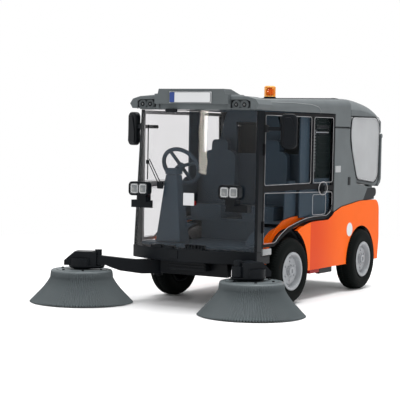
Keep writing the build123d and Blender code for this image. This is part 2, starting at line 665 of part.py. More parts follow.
# ---------------------------------------------------------------- fairing behind the doors
TIP_Y = 90.4
TIP_Z = 77.0
TIP_PIN_RADIUS = 1.8
BRACKET = [(68, 71.3), (90, 71.3), (TIP_Y, 80.6), (76, 80.6)]
BRACKET_EYE = 3.6
FAIRING_REAR_Y = HOPPER_FRONT_Y - 1.2
# Side views (y, z) of the fairing's outside and inside
FAIRING = [(FAIRING_FRONT_Y, FAIRING_TOP_Z), (FAIRING_REAR_Y, FAIRING_TOP_Z), (FAIRING_REAR_Y, 118),
           (54.6, 84.5), (86.5, 80.5), (86, 71.2), (60, 71.2), (24.7, 67.5), (FAIRING_FRONT_Y, 64.1)]
FAIRING_INSIDE = [(0, 140), (FAIRING_REAR_Y - WALL, 140), (FAIRING_REAR_Y - WALL, 117.4), (52.6, 82.2),
                  (83.5, 78.4), (83.5, 60), (0, 60)]
with BuildPart() as rear_fairing:
    with BuildSketch(Plane.YZ.offset(-DOOR_X)):
        with BuildLine():
            Polyline(*FAIRING, close=True)
        make_face()
    extrude(amount=2 * DOOR_X)
    with BuildSketch(Plane.YZ.offset(-DOOR_X + WALL)):
        with BuildLine():
            Polyline(*FAIRING_INSIDE, close=True)
        make_face()
    extrude(amount=2 * (DOOR_X - WALL), mode=Mode.SUBTRACT)
    for side in (1, -1):
        with BuildSketch(Plane.YZ.offset(side * (DOOR_X - WALL - 0.05))):
            with BuildLine():
                Polyline(*BRACKET, close=True)
            make_face()
            offset(amount=0.05)
        extrude(amount=side * 5, mode=Mode.SUBTRACT)
save(rear_fairing, "rear_fairing")

PIN_LENGTH = 5.7
with BuildPart() as tip_brackets:
    for side in (1, -1):
        with BuildSketch(Plane.YZ.offset(side * (DOOR_X - WALL))):
            with BuildLine():
                Polyline(*BRACKET, close=True)
            make_face()
            with Locations((TIP_Y, TIP_Z)):
                Circle(BRACKET_EYE)
        extrude(amount=side * WALL)
        with Locations((side * (DOOR_X - WALL - PIN_LENGTH / 2), TIP_Y, TIP_Z)):
            Cylinder(TIP_PIN_RADIUS, PIN_LENGTH, rotation=(0, 90, 0))
save(tip_brackets, "tip_brackets")

LOUVRE_PITCH = 3.4
LOUVRE_LOW_Z = 92.0
PANEL_X = 46.2
PANEL = 1.8
PANEL_FRONT_Y = CAB_REAR_Y + 0.3
PANEL_REAR_Y = 10.7
PANEL_LOW_Z = 88.0

# side, top height and number of louvres of each panel: the right one stops under the rear window
LOUVRE_PANELS = [(1, 138.0, 12), (-1, 106.0, 4)]
with BuildPart() as louvre_panels:
    for side, top_z, count in LOUVRE_PANELS:
        with Locations((side * PANEL_X, (PANEL_FRONT_Y + PANEL_REAR_Y) / 2, (PANEL_LOW_Z + top_z) / 2)):
            Box(PANEL, PANEL_REAR_Y - PANEL_FRONT_Y, top_z - PANEL_LOW_Z)
        louvre_z = [LOUVRE_LOW_Z + LOUVRE_PITCH * k for k in range(count)]
        with Locations(*[(side * (PANEL_X + 1), -1.5, z) for z in louvre_z]):
            Box(1.0, 20, 1.2)
save(louvre_panels, "louvre_panels")

with BuildPart() as corner_lamps:
    with Locations(*[(side * 49.4, -97.2, 40.1) for side in (1, -1)]):
        Box(2.8, 13.2, 4.6)
save(corner_lamps, "corner_lamps")

# ---------------------------------------------------------------- doors
DOOR_FRAME = 2.2
DOOR_THICK = 2.2
PANE = 1.6
PANE_INSET = 0.3
PANE_PLAY = 0.02
BELT = 4.0
HANDLE_Y = -8.6
HANDLE_Z = 82.6
HANDLE_RADIUS = 4.2
KNOB_RADIUS = 2.6
DIVIDER_Y = -26.6
DIVIDER = 1.8
HATCH = (22.0, 14.6, 2.5)    # raised rounded panel low on the pane: length, height, corner
HATCH_CENTRE = (-14.6, 70.6)
HATCH_RISE = 0.5
# Point where the mirror's arm leaves the door's front edge, and the middle of its head
MIRROR_ROOT = (-101.6, 126.6)
MIRROR_HEAD = (64.2, -94.2, 125.0)
MIRROR_SIZE = (11.5, 24.6, 4.6)
MIRROR_YAW = math.radians(25)
MIRROR_ARM = 2.6


def door_outline():
    """Side view of a door: x is along the vehicle and y is up."""
    with BuildSketch() as outline:
        with BuildLine():
            Polyline((-21.7, 59.5), (0.6, 59.4), (7.5, 62.6), (DOOR_REAR_Y, 70), (DOOR_REAR_Y, DOOR_TOP_Z),
                     (DOOR_FRONT_Y, DOOR_TOP_Z), (DOOR_FRONT_Y, DOOR_SILL_Z), (-85.6, DOOR_SILL_Z))
            ThreePointArc((-85.6, DOOR_SILL_Z), (-53.6, 55.4), (-21.7, 59.5))
        make_face()
    return outline.sketch


def door_bars(play):
    """Side view of the belt strip, the handle's disc and the bar between the upper panes."""
    with BuildSketch() as bars:
        with Locations(((DOOR_FRONT_Y + HANDLE_Y) / 2, BELT_Z - 0.6)):
            Rectangle(HANDLE_Y - DOOR_FRONT_Y - 1, BELT + 2 * play)
        with Locations((HANDLE_Y, HANDLE_Z)):
            Circle(HANDLE_RADIUS + play)
        with Locations(((DOOR_REAR_Y + HANDLE_Y) / 2, HANDLE_Z)):
            Rectangle(DOOR_REAR_Y - HANDLE_Y - 1, BELT + 2 * play)
        with Locations((DIVIDER_Y, (BELT_Z + DOOR_TOP_Z) / 2)):
            Rectangle(DIVIDER + 2 * play, DOOR_TOP_Z - BELT_Z - 1)
    return bars.sketch


for label, side in SIDES:
    inner_x = DOOR_X - DOOR_THICK
    with BuildPart() as door_frame:
        with BuildSketch(Plane.YZ.offset(side * inner_x)):
            add(door_outline())
            offset(amount=-DOOR_FRAME, mode=Mode.SUBTRACT)
            add(door_bars(0))
        extrude(amount=side * DOOR_THICK)
        with Locations((side * (DOOR_X + 0.6), HANDLE_Y, HANDLE_Z)):
            Cylinder(KNOB_RADIUS, 1.6, rotation=(0, 90, 0))
        with Locations(*[(side * DOOR_X, DOOR_FRONT_Y, z) for z in DOOR_HINGES_Z]):
            Cylinder(HINGE_BARREL, HINGE_LENGTH)
    save(door_frame, f"door_frame_{label}")

    pane_plane = Plane.YZ.offset(side * (inner_x + PANE_INSET))
    with BuildPart() as door_glass:
        with BuildSketch(pane_plane):
            add(door_outline())
            offset(amount=-DOOR_FRAME - PANE_PLAY, mode=Mode.REPLACE)
            add(door_bars(PANE_PLAY), mode=Mode.SUBTRACT)
        extrude(amount=side * PANE)
        with BuildSketch(pane_plane.offset(side * PANE)):
            with Locations(HATCH_CENTRE):
                RectangleRounded(*HATCH)
        extrude(amount=side * HATCH_RISE)
    save(door_glass, f"door_glass_{label}")

    head_x, head_y, head_z = MIRROR_HEAD
    yaw_x, yaw_y = math.cos(MIRROR_YAW), side * math.sin(MIRROR_YAW)
    mirror_plane = Plane(origin=(side * head_x, head_y, head_z),
                         x_dir=(yaw_x, yaw_y, 0), z_dir=(yaw_y, -yaw_x, 0))
    root = Vector(side * (DOOR_X + 1), *MIRROR_ROOT)
    tip = Vector(side * (head_x - 3), head_y, MIRROR_ROOT[1])
    with BuildPart() as mirror_unit:
        with BuildSketch(mirror_plane):
            RectangleRounded(MIRROR_SIZE[0], MIRROR_SIZE[1], 4)
        extrude(amount=MIRROR_SIZE[2] / 2, both=True)
        fillet(mirror_unit.faces().sort_by(Axis.Y)[0].edges(), 1.4)
        with Locations(Plane(origin=(root + tip) / 2, x_dir=tip - root, z_dir=(0, 0, 1))):
            Box((tip - root).length, MIRROR_ARM, MIRROR_ARM)
        with Locations((side * (DOOR_X + 0.9), MIRROR_ROOT[0] - 1.2, MIRROR_ROOT[1])):
            Box(1.8, 4.0, 5.0)
    save(mirror_unit, f"mirror_{label}")

# ---------------------------------------------------------------- sweeping gear
ARM_LENGTH = 45.1
ARM_ROOT = 5.4               # half widths of an arm at its pivot and at its eye
ARM_EYE = 4.0
ARM_TAPER = 26.0             # the arm narrows over this length
ARM_TOP_Z = 34.0
ARM_EYE_LOW_Z = 27.2
KNOB_RADIUS_TOP = 2.5
KNOB_TOP_Z = 38.2
HEAD_REACH = 12.0            # from the head's pin to the brush
HEAD_FOLD = 130.0            # largest turn of a head from straight along its arm
HEAD_PIN_RADIUS = 1.8
HEAD_PIN_TOP_Z = 32.4
TONGUE_RADIUS = 4.6          # tongue of the head, under the arm's eye
TONGUE_LOW_Z = 24.8
TONGUE_TOP_Z = 26.8
BOSS_RADIUS = 9.4            # round housing over the brush
BOSS_TOP_Z = 32.0
BOSS_CHAMFER = 1.2
NECK_RADIUS = 5.8
NECK_LOW_Z = 24.1
HEAD_HALF = 6.0
BRUSH_PIN_RADIUS = 2.0
BRUSH_PIN_LOW_Z = 20.0
BRUSH_TOP_RADIUS = 22.0
BRUSH_GROUND_RADIUS = 37.3
BRUSH_LOW_Z = 0.4
BRUSH_TOP_Z = 23.6
BRUSH_PLATE_RADIUS = 18.0
BRUSH_PLATE_LOW_Z = 22.2
BRUSH_PLATE_TOP_Z = 23.8

# Side views (distance from the arm's pivot, z) of the top and of each arm's underside
ARM_TOP = [(52, ARM_TOP_Z), (44, ARM_TOP_Z), (16, ARM_ROOT_TOP_Z), (-8, ARM_ROOT_TOP_Z)]
FLAT_ARM = [(-8, FLAT_ARM_LOW_Z), (52, ARM_EYE_LOW_Z)]
DEEP_ARM = [(-8, DEEP_ARM_LOW_Z), (14, DEEP_ARM_LOW_Z), (30, 23.0), (36.5, 25.4), (40.2, ARM_EYE_LOW_Z),
            (52, ARM_EYE_LOW_Z)]
# Side view (distance from the head's pin, z) of the head's block
HEAD_SIDE = [(0.5, TONGUE_TOP_Z), (23.8, TONGUE_TOP_Z), (23.8, 30.3), (16.3, 36.8), (0.5, 36.8)]

# side, sign, angle of the arm from straight out towards the front, turn of the head from the arm, underside
ARMS = [("left", 1, 63.3, 127.7, FLAT_ARM), ("right", -1, 50.9, 27.5, DEEP_ARM)]

# Half section (radius, z) of a brush: a smooth band, then a skirt that flares in a hollow curve
BRUSH_FLARE = [(BRUSH_TOP_RADIUS - 1, BRUSH_TOP_Z), (BRUSH_TOP_RADIUS, BRUSH_TOP_Z - 1),
               (BRUSH_TOP_RADIUS + 0.6, BRUSH_TOP_Z - 5), (29.5, 8.5), (BRUSH_GROUND_RADIUS, BRUSH_LOW_Z)]
BRUSH_HOLLOW = [(BRUSH_GROUND_RADIUS - 3, BRUSH_LOW_Z), (BRUSH_GROUND_RADIUS - 7, 3.0)]
PIN_HOLE = BRUSH_PIN_RADIUS + RUNNING
PLATE_HOLE = BRUSH_PLATE_RADIUS + GAP / 2
PLATE_SEAT = [(0, BRUSH_HOLLOW[-1][1]), (0, BRUSH_PIN_LOW_Z - GAP), (PIN_HOLE, BRUSH_PIN_LOW_Z - GAP),
              (PIN_HOLE, BRUSH_PLATE_LOW_Z), (PLATE_HOLE, BRUSH_PLATE_LOW_Z), (PLATE_HOLE, BRUSH_TOP_Z)]

for label, side, arm_angle, head_turn, underside in ARMS:
    a = math.radians(arm_angle)
    along = Vector(side * math.cos(a), -math.sin(a), 0)
    pivot = Vector(side * ARM_PIVOT_X, ARM_PIVOT_Y, 0)
    knob = pivot + along * ARM_LENGTH
    h = math.radians(head_turn - arm_angle)
    reach = Vector(side * math.cos(h), math.sin(h), 0)
    brush = knob + reach * HEAD_REACH

    arm_plane = Plane(origin=pivot, x_dir=along, z_dir=(0, 0, 1))
    with BuildPart() as arm:
        with BuildSketch(arm_plane.offset(DEEP_ARM_LOW_Z)):
            with BuildLine():
                Polyline((0, -ARM_ROOT), (ARM_TAPER, -ARM_EYE), (ARM_LENGTH, -ARM_EYE), (ARM_LENGTH, ARM_EYE),
                         (ARM_TAPER, ARM_EYE), (0, ARM_ROOT), close=True)
            make_face()
            Circle(ARM_ROOT)
            with Locations((ARM_LENGTH, 0)):
                Circle(ARM_EYE)
        extrude(amount=ARM_TOP_Z - DEEP_ARM_LOW_Z)
        with BuildSketch(Plane(origin=pivot, x_dir=along, z_dir=along.cross(Vector(0, 0, 1)))):
            with BuildLine():
                Polyline(*underside, *ARM_TOP, close=True)
            make_face()
        extrude(amount=2 * ARM_ROOT, both=True, mode=Mode.INTERSECT)
        with BuildSketch(arm_plane.offset(DEEP_ARM_LOW_Z)):
            Circle(ARM_PIN_RADIUS + RUNNING)
        extrude(amount=ARM_TOP_Z - DEEP_ARM_LOW_Z, mode=Mode.SUBTRACT)
        with BuildSketch(arm_plane.offset(ARM_EYE_LOW_Z)):
            with Locations((ARM_LENGTH, 0)):
                Circle(HEAD_PIN_RADIUS + RUNNING)
        extrude(amount=HEAD_PIN_TOP_Z + GAP - ARM_EYE_LOW_Z, mode=Mode.SUBTRACT)
        with BuildSketch(arm_plane.offset(ARM_TOP_Z)):
            with Locations((ARM_LENGTH, 0)):
                Circle(KNOB_RADIUS_TOP)
        extrude(amount=KNOB_TOP_Z - ARM_TOP_Z)
    save(arm, f"arm_{label}")

    # The arm stands in the notch of the head's block when the brush is folded back
    head_plane = Plane(origin=knob, x_dir=reach, z_dir=(0, 0, 1))
    fold = math.radians(180 - HEAD_FOLD)
    notch = Vector(math.sin(fold), -side * math.cos(fold)) * (ARM_EYE + GAP)
    notch_end = notch + Vector(math.cos(fold), side * math.sin(fold)) * ARM_LENGTH
    with BuildPart() as brush_head:
        with BuildSketch(Plane(origin=knob, x_dir=reach, z_dir=reach.cross(Vector(0, 0, 1)))):
            with BuildLine():
                Polyline(*HEAD_SIDE, close=True)
            make_face()
        extrude(amount=HEAD_HALF, both=True)
        with BuildSketch(head_plane.offset(TONGUE_TOP_Z)):
            with Locations((HEAD_REACH, 0)):
                Circle(BOSS_RADIUS)
        extrude(amount=BOSS_TOP_Z - TONGUE_TOP_Z)
        with BuildSketch(head_plane.offset(TONGUE_TOP_Z)):
            with BuildLine():
                Polyline((notch.X, notch.Y), (notch_end.X, notch_end.Y), (-ARM_LENGTH, notch_end.Y),
                         (-ARM_LENGTH, notch.Y), close=True)
            make_face()
        extrude(amount=ARM_TOP_Z + GAP - TONGUE_TOP_Z, mode=Mode.SUBTRACT)
        with BuildSketch(head_plane.offset(TONGUE_TOP_Z)):
            Circle(ARM_EYE + GAP)
        extrude(amount=KNOB_TOP_Z - TONGUE_TOP_Z, mode=Mode.SUBTRACT)
        with BuildSketch(head_plane.offset(TONGUE_LOW_Z)):
            Circle(TONGUE_RADIUS)
            with Locations((HEAD_REACH, 0)):
                Circle(BOSS_RADIUS)
            make_hull()
        extrude(amount=TONGUE_TOP_Z - TONGUE_LOW_Z)
        chamfer(brush_head.edges().group_by(Axis.Z)[0], BOSS_CHAMFER)
        for offset, radius, low_z, high_z in (
            (0, HEAD_PIN_RADIUS, TONGUE_TOP_Z, HEAD_PIN_TOP_Z),
            (HEAD_REACH, NECK_RADIUS, NECK_LOW_Z, TONGUE_LOW_Z),
            (HEAD_REACH, BRUSH_PIN_RADIUS, BRUSH_PIN_LOW_Z, NECK_LOW_Z),
        ):
            with BuildSketch(head_plane.offset(low_z)):
                with Locations((offset, 0)):
                    Circle(radius)
            extrude(amount=high_z - low_z)
    save(brush_head, f"brush_head_{label}")

    with BuildPart() as brush_plate:
        with BuildSketch(Plane.XY.offset(BRUSH_PLATE_LOW_Z)):
            with Locations((brush.X, brush.Y)):
                Circle(BRUSH_PLATE_RADIUS)
                Circle(BRUSH_PIN_RADIUS + RUNNING, mode=Mode.SUBTRACT)
        extrude(amount=BRUSH_PLATE_TOP_Z - BRUSH_PLATE_LOW_Z)
    save(brush_plate, f"brush_plate_{label}")

    section = Plane(origin=(brush.X, brush.Y, 0), x_dir=(1, 0, 0), z_dir=(0, -1, 0))
    with BuildPart() as bristles:
        with BuildSketch(section):
            with BuildLine():
                Polyline(*PLATE_SEAT, *BRUSH_FLARE, *BRUSH_HOLLOW, close=True)
            make_face()
        revolve(axis=Axis((brush.X, brush.Y, 0), (0, 0, 1)))
    save(bristles, f"bristles_{label}")

# ---------------------------------------------------------------- hopper
SHELL_X = 48.6
SHELL_REAR_Y = 102.8
SHELL_CORNER = 3.4
LID_LOW_Z = 138.2
LID_REAR_Y = 105.3
LID_CORNER = 6.0             # rounding of the lid's rear corners, seen from above
LID_SHOULDER = 18.4          # width of the rounded shoulder along each side
LIP = 1.7
LIP_Z = 125.3                # lower edge of the lid's rear lip
LIP_FRONT_Y = 98.6
LID_CUT_Z = 120.0

# Side views (y, z) of the shell's outside and inside
SHELL = [(HOPPER_FRONT_Y, 138), (HOPPER_FRONT_Y, 119), (55.6, 86), (93, 82), (97.4, 83.4), (SHELL_REAR_Y, 89),
         (SHELL_REAR_Y, 138)]
SHELL_INSIDE = [(HOPPER_FRONT_Y + WALL, 140), (HOPPER_FRONT_Y + WALL, 119.5), (57.2, 88.4), (93, 84.5),
                (110, 84.5), (110, LIP_Z), (SHELL_REAR_Y - WALL, LIP_Z), (SHELL_REAR_Y - WALL, 140)]
EAR_X = 43.0
EAR = 3.6
EAR_RADIUS = 3.2
with BuildPart() as hopper_shell:
    with BuildSketch(Plane.YZ.offset(-SHELL_X)):
        with BuildLine():
            Polyline(*SHELL, close=True)
        make_face()
    extrude(amount=2 * SHELL_X)
    fillet(hopper_shell.edges().filter_by(Axis.Z).group_by(Axis.Y)[-1], SHELL_CORNER)
    with BuildSketch(Plane.YZ.offset(-SHELL_X + WALL)):
        with BuildLine():
            Polyline(*SHELL_INSIDE, close=True)
        make_face()
    extrude(amount=2 * (SHELL_X - WALL), mode=Mode.SUBTRACT)
    for side in (1, -1):
        with BuildSketch(Plane.YZ.offset(side * EAR_X)):
            with BuildLine():
                Polyline((86.8, 83.4), (TIP_Y - EAR_RADIUS, TIP_Z), (TIP_Y + EAR_RADIUS, TIP_Z), (94, 83),
                         close=True)
            make_face()
            with Locations((TIP_Y, TIP_Z)):
                Circle(EAR_RADIUS)
                Circle(TIP_PIN_RADIUS + RUNNING, mode=Mode.SUBTRACT)
        extrude(amount=side * EAR)
save(hopper_shell, "hopper_shell")

SIDE_PANEL = [(42.4, 137.4), (42.4, 119.4), (56.4, 88.0), (88.5, 85.2), (96.2, 90), (97.6, 137.4)]
with BuildPart() as hopper_sides:
    for side in (1, -1):
        with BuildSketch(Plane.YZ.offset(side * (SHELL_X + 0.05))):
            with BuildLine():
                Polyline(*SIDE_PANEL, close=True)
            make_face()
        extrude(amount=side * 1.8)
save(hopper_sides, "hopper_sides")

# y of each section of the lid, height of its flat crown, and height of its shoulders above the side
LID_OUTSIDE = [(HOPPER_FRONT_Y, 151.9, 9.4), (56, 151.6, 9.4), (72, 150.4, 9.4), (86, 148.3, 9.2),
               (95, 145.4, 8.4), (101, 141.2, 7.2), (LID_REAR_Y, 134.5, 5.4)]
LID_INSIDE = [(HOPPER_FRONT_Y + WALL, 149.5, 9.0), (56, 149.2, 9.0), (72, 148.0, 8.6), (86, 145.4, 6.8),
              (96, 141.6, 3.2)]


def lid_section(half_x, low_z, crown_z, shoulder):
    """Cross-section of the lid: upright sides, a rounded shoulder each side and a flat crown."""
    flat_x = half_x - LID_SHOULDER
    side_z = crown_z - shoulder
    middle = (half_x - 0.42 * LID_SHOULDER, crown_z - 0.2 * shoulder)
    with BuildSketch() as outline:
        with BuildLine():
            Polyline((-half_x, side_z), (-half_x, low_z), (half_x, low_z), (half_x, side_z))
            ThreePointArc((half_x, side_z), middle, (flat_x, crown_z))
            Line((flat_x, crown_z), (-flat_x, crown_z))
            ThreePointArc((-flat_x, crown_z), (-middle[0], middle[1]), (-half_x, side_z))
        make_face()
    return outline.sketch


with BuildPart() as lid_inside:
    for y, crown_z, shoulder in LID_INSIDE:
        with BuildSketch(Plane.XZ.offset(-y)):
            add(lid_section(DOOR_X - WALL, LID_CUT_Z, crown_z, shoulder))
    loft()

with BuildPart() as hopper_roof:
    for y, crown_z, shoulder in LID_OUTSIDE:
        with BuildSketch(Plane.XZ.offset(-y)):
            add(lid_section(DOOR_X, LID_CUT_Z, crown_z, shoulder))
    loft()
    add(lid_inside.part, mode=Mode.SUBTRACT)
    with BuildSketch(Plane.XY.offset(LID_CUT_Z)):
        with Locations((0, (LID_REAR_Y - 60) / 2)):
            RectangleRounded(2 * DOOR_X, LID_REAR_Y + 60, LID_CORNER)
    extrude(amount=40, mode=Mode.INTERSECT)
    with BuildSketch(Plane.XY.offset(LID_CUT_Z)):
        with Locations((0, (LID_REAR_Y - LIP - 60) / 2)):
            RectangleRounded(2 * (DOOR_X - LIP), LID_REAR_Y - LIP + 60, LID_CORNER - LIP)
        with Locations((0, (LIP_FRONT_Y - 60) / 2)):
            Rectangle(2 * DOOR_X, LIP_FRONT_Y + 60)
    extrude(amount=LID_LOW_Z - LID_CUT_Z, mode=Mode.SUBTRACT)
    with Locations((0, 50, (LIP_Z + LID_CUT_Z) / 2)):
        Box(2 * DOOR_X, 140, LIP_Z - LID_CUT_Z, mode=Mode.SUBTRACT)
save(hopper_roof, "hopper_roof")

FLAP_X = 49.5
HINGE_Y = 105.0
HINGE_Z = 122.7
HINGE_RADIUS = 2.0
FLAP = [(105.5, HINGE_Z), (105.5, 88), (104.2, 84.6), (99.5, 81.4), (98.6, 83.2), (102.2, 86.0),
        (103.1, 88.5), (103.1, HINGE_Z)]
with BuildPart() as hopper_flap:
    with BuildSketch(Plane.YZ.offset(-FLAP_X)):
        with BuildLine():
            Polyline(*FLAP, close=True)
        make_face()
        with Locations((HINGE_Y, HINGE_Z)):
            Circle(HINGE_RADIUS)
    extrude(amount=2 * FLAP_X)
save(hopper_flap, "hopper_flap")

# ---------------------------------------------------------------- under the body
with BuildPart() as suction_mouth:
    with Locations((0, -14, 24)):
        Box(72, 16, 13.6)
save(suction_mouth, "suction_mouth")
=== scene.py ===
import json
import math

import bpy
from mathutils import Matrix, Vector


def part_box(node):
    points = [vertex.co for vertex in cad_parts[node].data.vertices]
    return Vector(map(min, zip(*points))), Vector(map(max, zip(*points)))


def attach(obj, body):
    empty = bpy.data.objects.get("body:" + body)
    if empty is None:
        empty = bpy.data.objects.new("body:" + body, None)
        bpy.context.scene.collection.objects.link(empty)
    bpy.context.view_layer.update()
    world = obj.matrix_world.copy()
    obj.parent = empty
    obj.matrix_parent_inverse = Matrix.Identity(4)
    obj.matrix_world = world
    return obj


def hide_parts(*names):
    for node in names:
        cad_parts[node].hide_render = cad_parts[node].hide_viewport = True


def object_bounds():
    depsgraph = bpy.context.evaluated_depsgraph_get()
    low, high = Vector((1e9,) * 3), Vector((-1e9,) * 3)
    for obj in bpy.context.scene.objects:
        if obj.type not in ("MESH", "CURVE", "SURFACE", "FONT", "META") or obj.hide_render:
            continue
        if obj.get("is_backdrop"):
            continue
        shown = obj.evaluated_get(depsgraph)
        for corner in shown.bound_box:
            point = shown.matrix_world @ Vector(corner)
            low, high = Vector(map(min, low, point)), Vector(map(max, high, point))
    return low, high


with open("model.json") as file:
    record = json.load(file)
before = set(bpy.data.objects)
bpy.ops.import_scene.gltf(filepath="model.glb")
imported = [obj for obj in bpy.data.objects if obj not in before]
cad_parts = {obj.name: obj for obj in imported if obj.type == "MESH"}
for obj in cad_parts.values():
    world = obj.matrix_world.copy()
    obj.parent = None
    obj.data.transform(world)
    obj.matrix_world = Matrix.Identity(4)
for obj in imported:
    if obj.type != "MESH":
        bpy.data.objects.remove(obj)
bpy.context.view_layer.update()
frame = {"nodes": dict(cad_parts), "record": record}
nodes = frame["nodes"]
bodies = frame["record"]["behaviour"]["bodies"]
body_of_node = {node: body for body, members in bodies.items() for node in members}
slot_of_node = {part["node"]: part["material_slot"] for part in frame["record"]["subparts"]}

# Blender counts in metres, and the pieces' measures are in millimetres. Front is -Y, the vehicle's left is
# +X, up is +Z, and the origin is on the ground below the wheelbase's middle.
MM = 0.001
VEHICLE = body_of_node["body_shell"]
SIDES = (("left", 1), ("right", -1))

# ------------------------------------------------------------------ materials


def new_material(name):
    """A material with its Principled shader, its node tree and Object coordinates."""
    material = bpy.data.materials.new(name)
    material.use_nodes = True
    tree = material.node_tree
    shader = tree.nodes["Principled BSDF"]
    place = tree.nodes.new("ShaderNodeTexCoord").outputs["Object"]
    return material, tree, shader, place


def noise(tree, place, scale, detail=3.0):
    """A noise pattern; scale is in patterns per metre."""
    node = tree.nodes.new("ShaderNodeTexNoise")
    node.inputs["Scale"].default_value = scale
    node.inputs["Detail"].default_value = detail
    tree.links.new(place, node.inputs["Vector"])
    return node.outputs["Fac"]


def span(tree, value, low, high):
    """Maps the middle of a noise pattern to the range from low to high."""
    node = tree.nodes.new("ShaderNodeMapRange")
    node.inputs["From Min"].default_value = 0.3
    node.inputs["From Max"].default_value = 0.7
    node.inputs["To Min"].default_value = low
    node.inputs["To Max"].default_value = high
    tree.links.new(value, node.inputs["Value"])
    return node.outputs["Result"]


def between(tree, share, first, second):
    """A colour mixed from two, by a share."""
    node = tree.nodes.new("ShaderNodeMix")
    node.data_type = "RGBA"
    node.inputs["A"].default_value = (*first, 1)
    node.inputs["B"].default_value = (*second, 1)
    tree.links.new(share, node.inputs["Factor"])
    return node.outputs["Result"]


def combined(tree, operation, first, second):
    """A Math node's result from two sockets, or from a socket and a number."""
    node = tree.nodes.new("ShaderNodeMath")
    node.operation = operation
    for socket, value in zip(node.inputs, (first, second)):
        if isinstance(value, float):
            socket.default_value = value
        else:
            tree.links.new(value, socket)
    return node.outputs["Value"]


def relief(tree, shader, height, distance):
    """Bump from a height pattern; distance is in metres."""
    node = tree.nodes.new("ShaderNodeBump")
    node.inputs["Distance"].default_value = distance
    tree.links.new(height, node.inputs["Height"])
    tree.links.new(node.outputs["Normal"], shader.inputs["Normal"])


def moulded_plastic(name, colour, roughness, grain=1400.0, depth=0.00002, sheen=0.18, shade=0.10):
    """Injection-moulded plastic: fine grain, faint flow marks in the colour and an uneven sheen."""
    material, tree, shader, place = new_material(name)
    flow = span(tree, noise(tree, place, 45.0), 0.0, 1.0)
    darker = tuple(c * (1 - shade) for c in colour)
    tree.links.new(between(tree, flow, colour, darker), shader.inputs["Base Color"])
    skin = noise(tree, place, grain, 2.0)
    tree.links.new(span(tree, noise(tree, place, 90.0), roughness - 0.02, roughness + 0.03),
                   shader.inputs["Roughness"])
    shader.inputs["Specular IOR Level"].default_value = sheen
    relief(tree, shader, skin, depth)
    return material


def clear_plastic(name, tint, roughness, index):
    """A clear moulding with a faint unevenness in its tint, which shadow and diffuse rays pass straight."""
    material, tree, shader, place = new_material(name)
    duller = tuple(c * 0.96 for c in tint)
    tree.links.new(between(tree, span(tree, noise(tree, place, 30.0), 0.0, 1.0), tint, duller),
                   shader.inputs["Base Color"])
    shader.inputs["Transmission Weight"].default_value = 1.0
    shader.inputs["IOR"].default_value = index
    shader.inputs["Roughness"].default_value = roughness
    ray = tree.nodes.new("ShaderNodeLightPath")
    through = tree.nodes.new("ShaderNodeBsdfTransparent")
    through.inputs["Color"].default_value = (*tint, 1)
    mix = tree.nodes.new("ShaderNodeMixShader")
    straight = combined(tree, "MAXIMUM", ray.outputs["Is Shadow Ray"], ray.outputs["Is Diffuse Ray"])
    tree.links.new(straight, mix.inputs["Fac"])
    tree.links.new(shader.outputs["BSDF"], mix.inputs[1])
    tree.links.new(through.outputs["BSDF"], mix.inputs[2])
    tree.links.new(mix.outputs["Shader"], tree.nodes["Material Output"].inputs["Surface"])
    return material


# Depths of the moulded grain, in metres
GLOSSY, POLISHED, SATIN = 0.000002, 0.000004, 0.000008

ORANGE = (0.77, 0.110, 0.002)
# A deeper orange, painted shade on the side behind the front arch
ORANGE_PAINTED_SHADE = (0.56, 0.043, 0.003)
ROOF_GREY = (0.098, 0.111, 0.116)
# A lighter roof grey, a painted highlight on the roof's side line
ROOF_HIGHLIGHT_GREY = (0.17, 0.185, 0.19)
PANEL_GREY = (0.345, 0.354, 0.363)
BLACK = (0.0065, 0.008, 0.010)
SEAL_BLACK = (0.004, 0.004, 0.005)
LOUVRE_BLACK = (0.006, 0.011, 0.011)
CAB_BLUE_GREY = (0.043, 0.066, 0.088)
RIM_GREY = (0.30, 0.313, 0.328)
RUBBER_BLACK = (0.0040, 0.0052, 0.0050)
BRUSH_GREY = (0.105, 0.122, 0.128)
BRUSH_SHADE_GREY = (0.030, 0.037, 0.038)
PLATE_WHITE = (0.60, 0.61, 0.62)
STRIP_BLUE = (0.030, 0.060, 0.22)
FLAP_RED = (0.26, 0.012, 0.010)
# The corner lamps' whitish grey; its strong mottling below is painted reflection streaks
CORNER_GREY = (0.36, 0.37, 0.38)
# Light grey for the clear mouldings' edges: a painted highlight
PANE_HIGHLIGHT_GREY = (0.42, 0.42, 0.43)
LAMP_GREY = (0.16, 0.17, 0.175)
LAMP_SILVER = (0.50, 0.50, 0.50)
MIRROR_SILVER = (0.75, 0.76, 0.78)
STEEL_GREY = (0.45, 0.46, 0.48)
BEACON_CORE_AMBER = (1.0, 0.36, 0.07)

orange_shell = moulded_plastic("orange_shell", ORANGE, 0.30, depth=GLOSSY, sheen=0.05, shade=0.04)
roof_plastic = moulded_plastic("roof_plastic", ROOF_GREY, 0.42, depth=SATIN, sheen=0.12)
light_panel = moulded_plastic("light_panel", PANEL_GREY, 0.40, depth=SATIN)
black_plastic = moulded_plastic("black_plastic", BLACK, 0.34, depth=SATIN, sheen=0.08)
seal_black = moulded_plastic("seal_black", SEAL_BLACK, 0.5, depth=POLISHED, sheen=0.05)
corner_lamp_with_reflections = moulded_plastic("corner_lamp_with_reflections", CORNER_GREY, 0.15, depth=0.000010, sheen=0.1, shade=0.5)
louvre_plastic = moulded_plastic("louvre_plastic", LOUVRE_BLACK, 0.5, depth=0.000006, sheen=0.03)
roof_highlight = moulded_plastic("roof_highlight", ROOF_HIGHLIGHT_GREY, 0.4, depth=POLISHED)
mirror_silver = moulded_plastic("mirror_silver", MIRROR_SILVER, 0.05, depth=0.0, sheen=0.5, shade=0.03)
cab_plastic = moulded_plastic("cab_plastic", CAB_BLUE_GREY, 0.5, depth=SATIN, sheen=0.10)
rim_plastic = moulded_plastic("rim_plastic", RIM_GREY, 0.38, depth=SATIN)
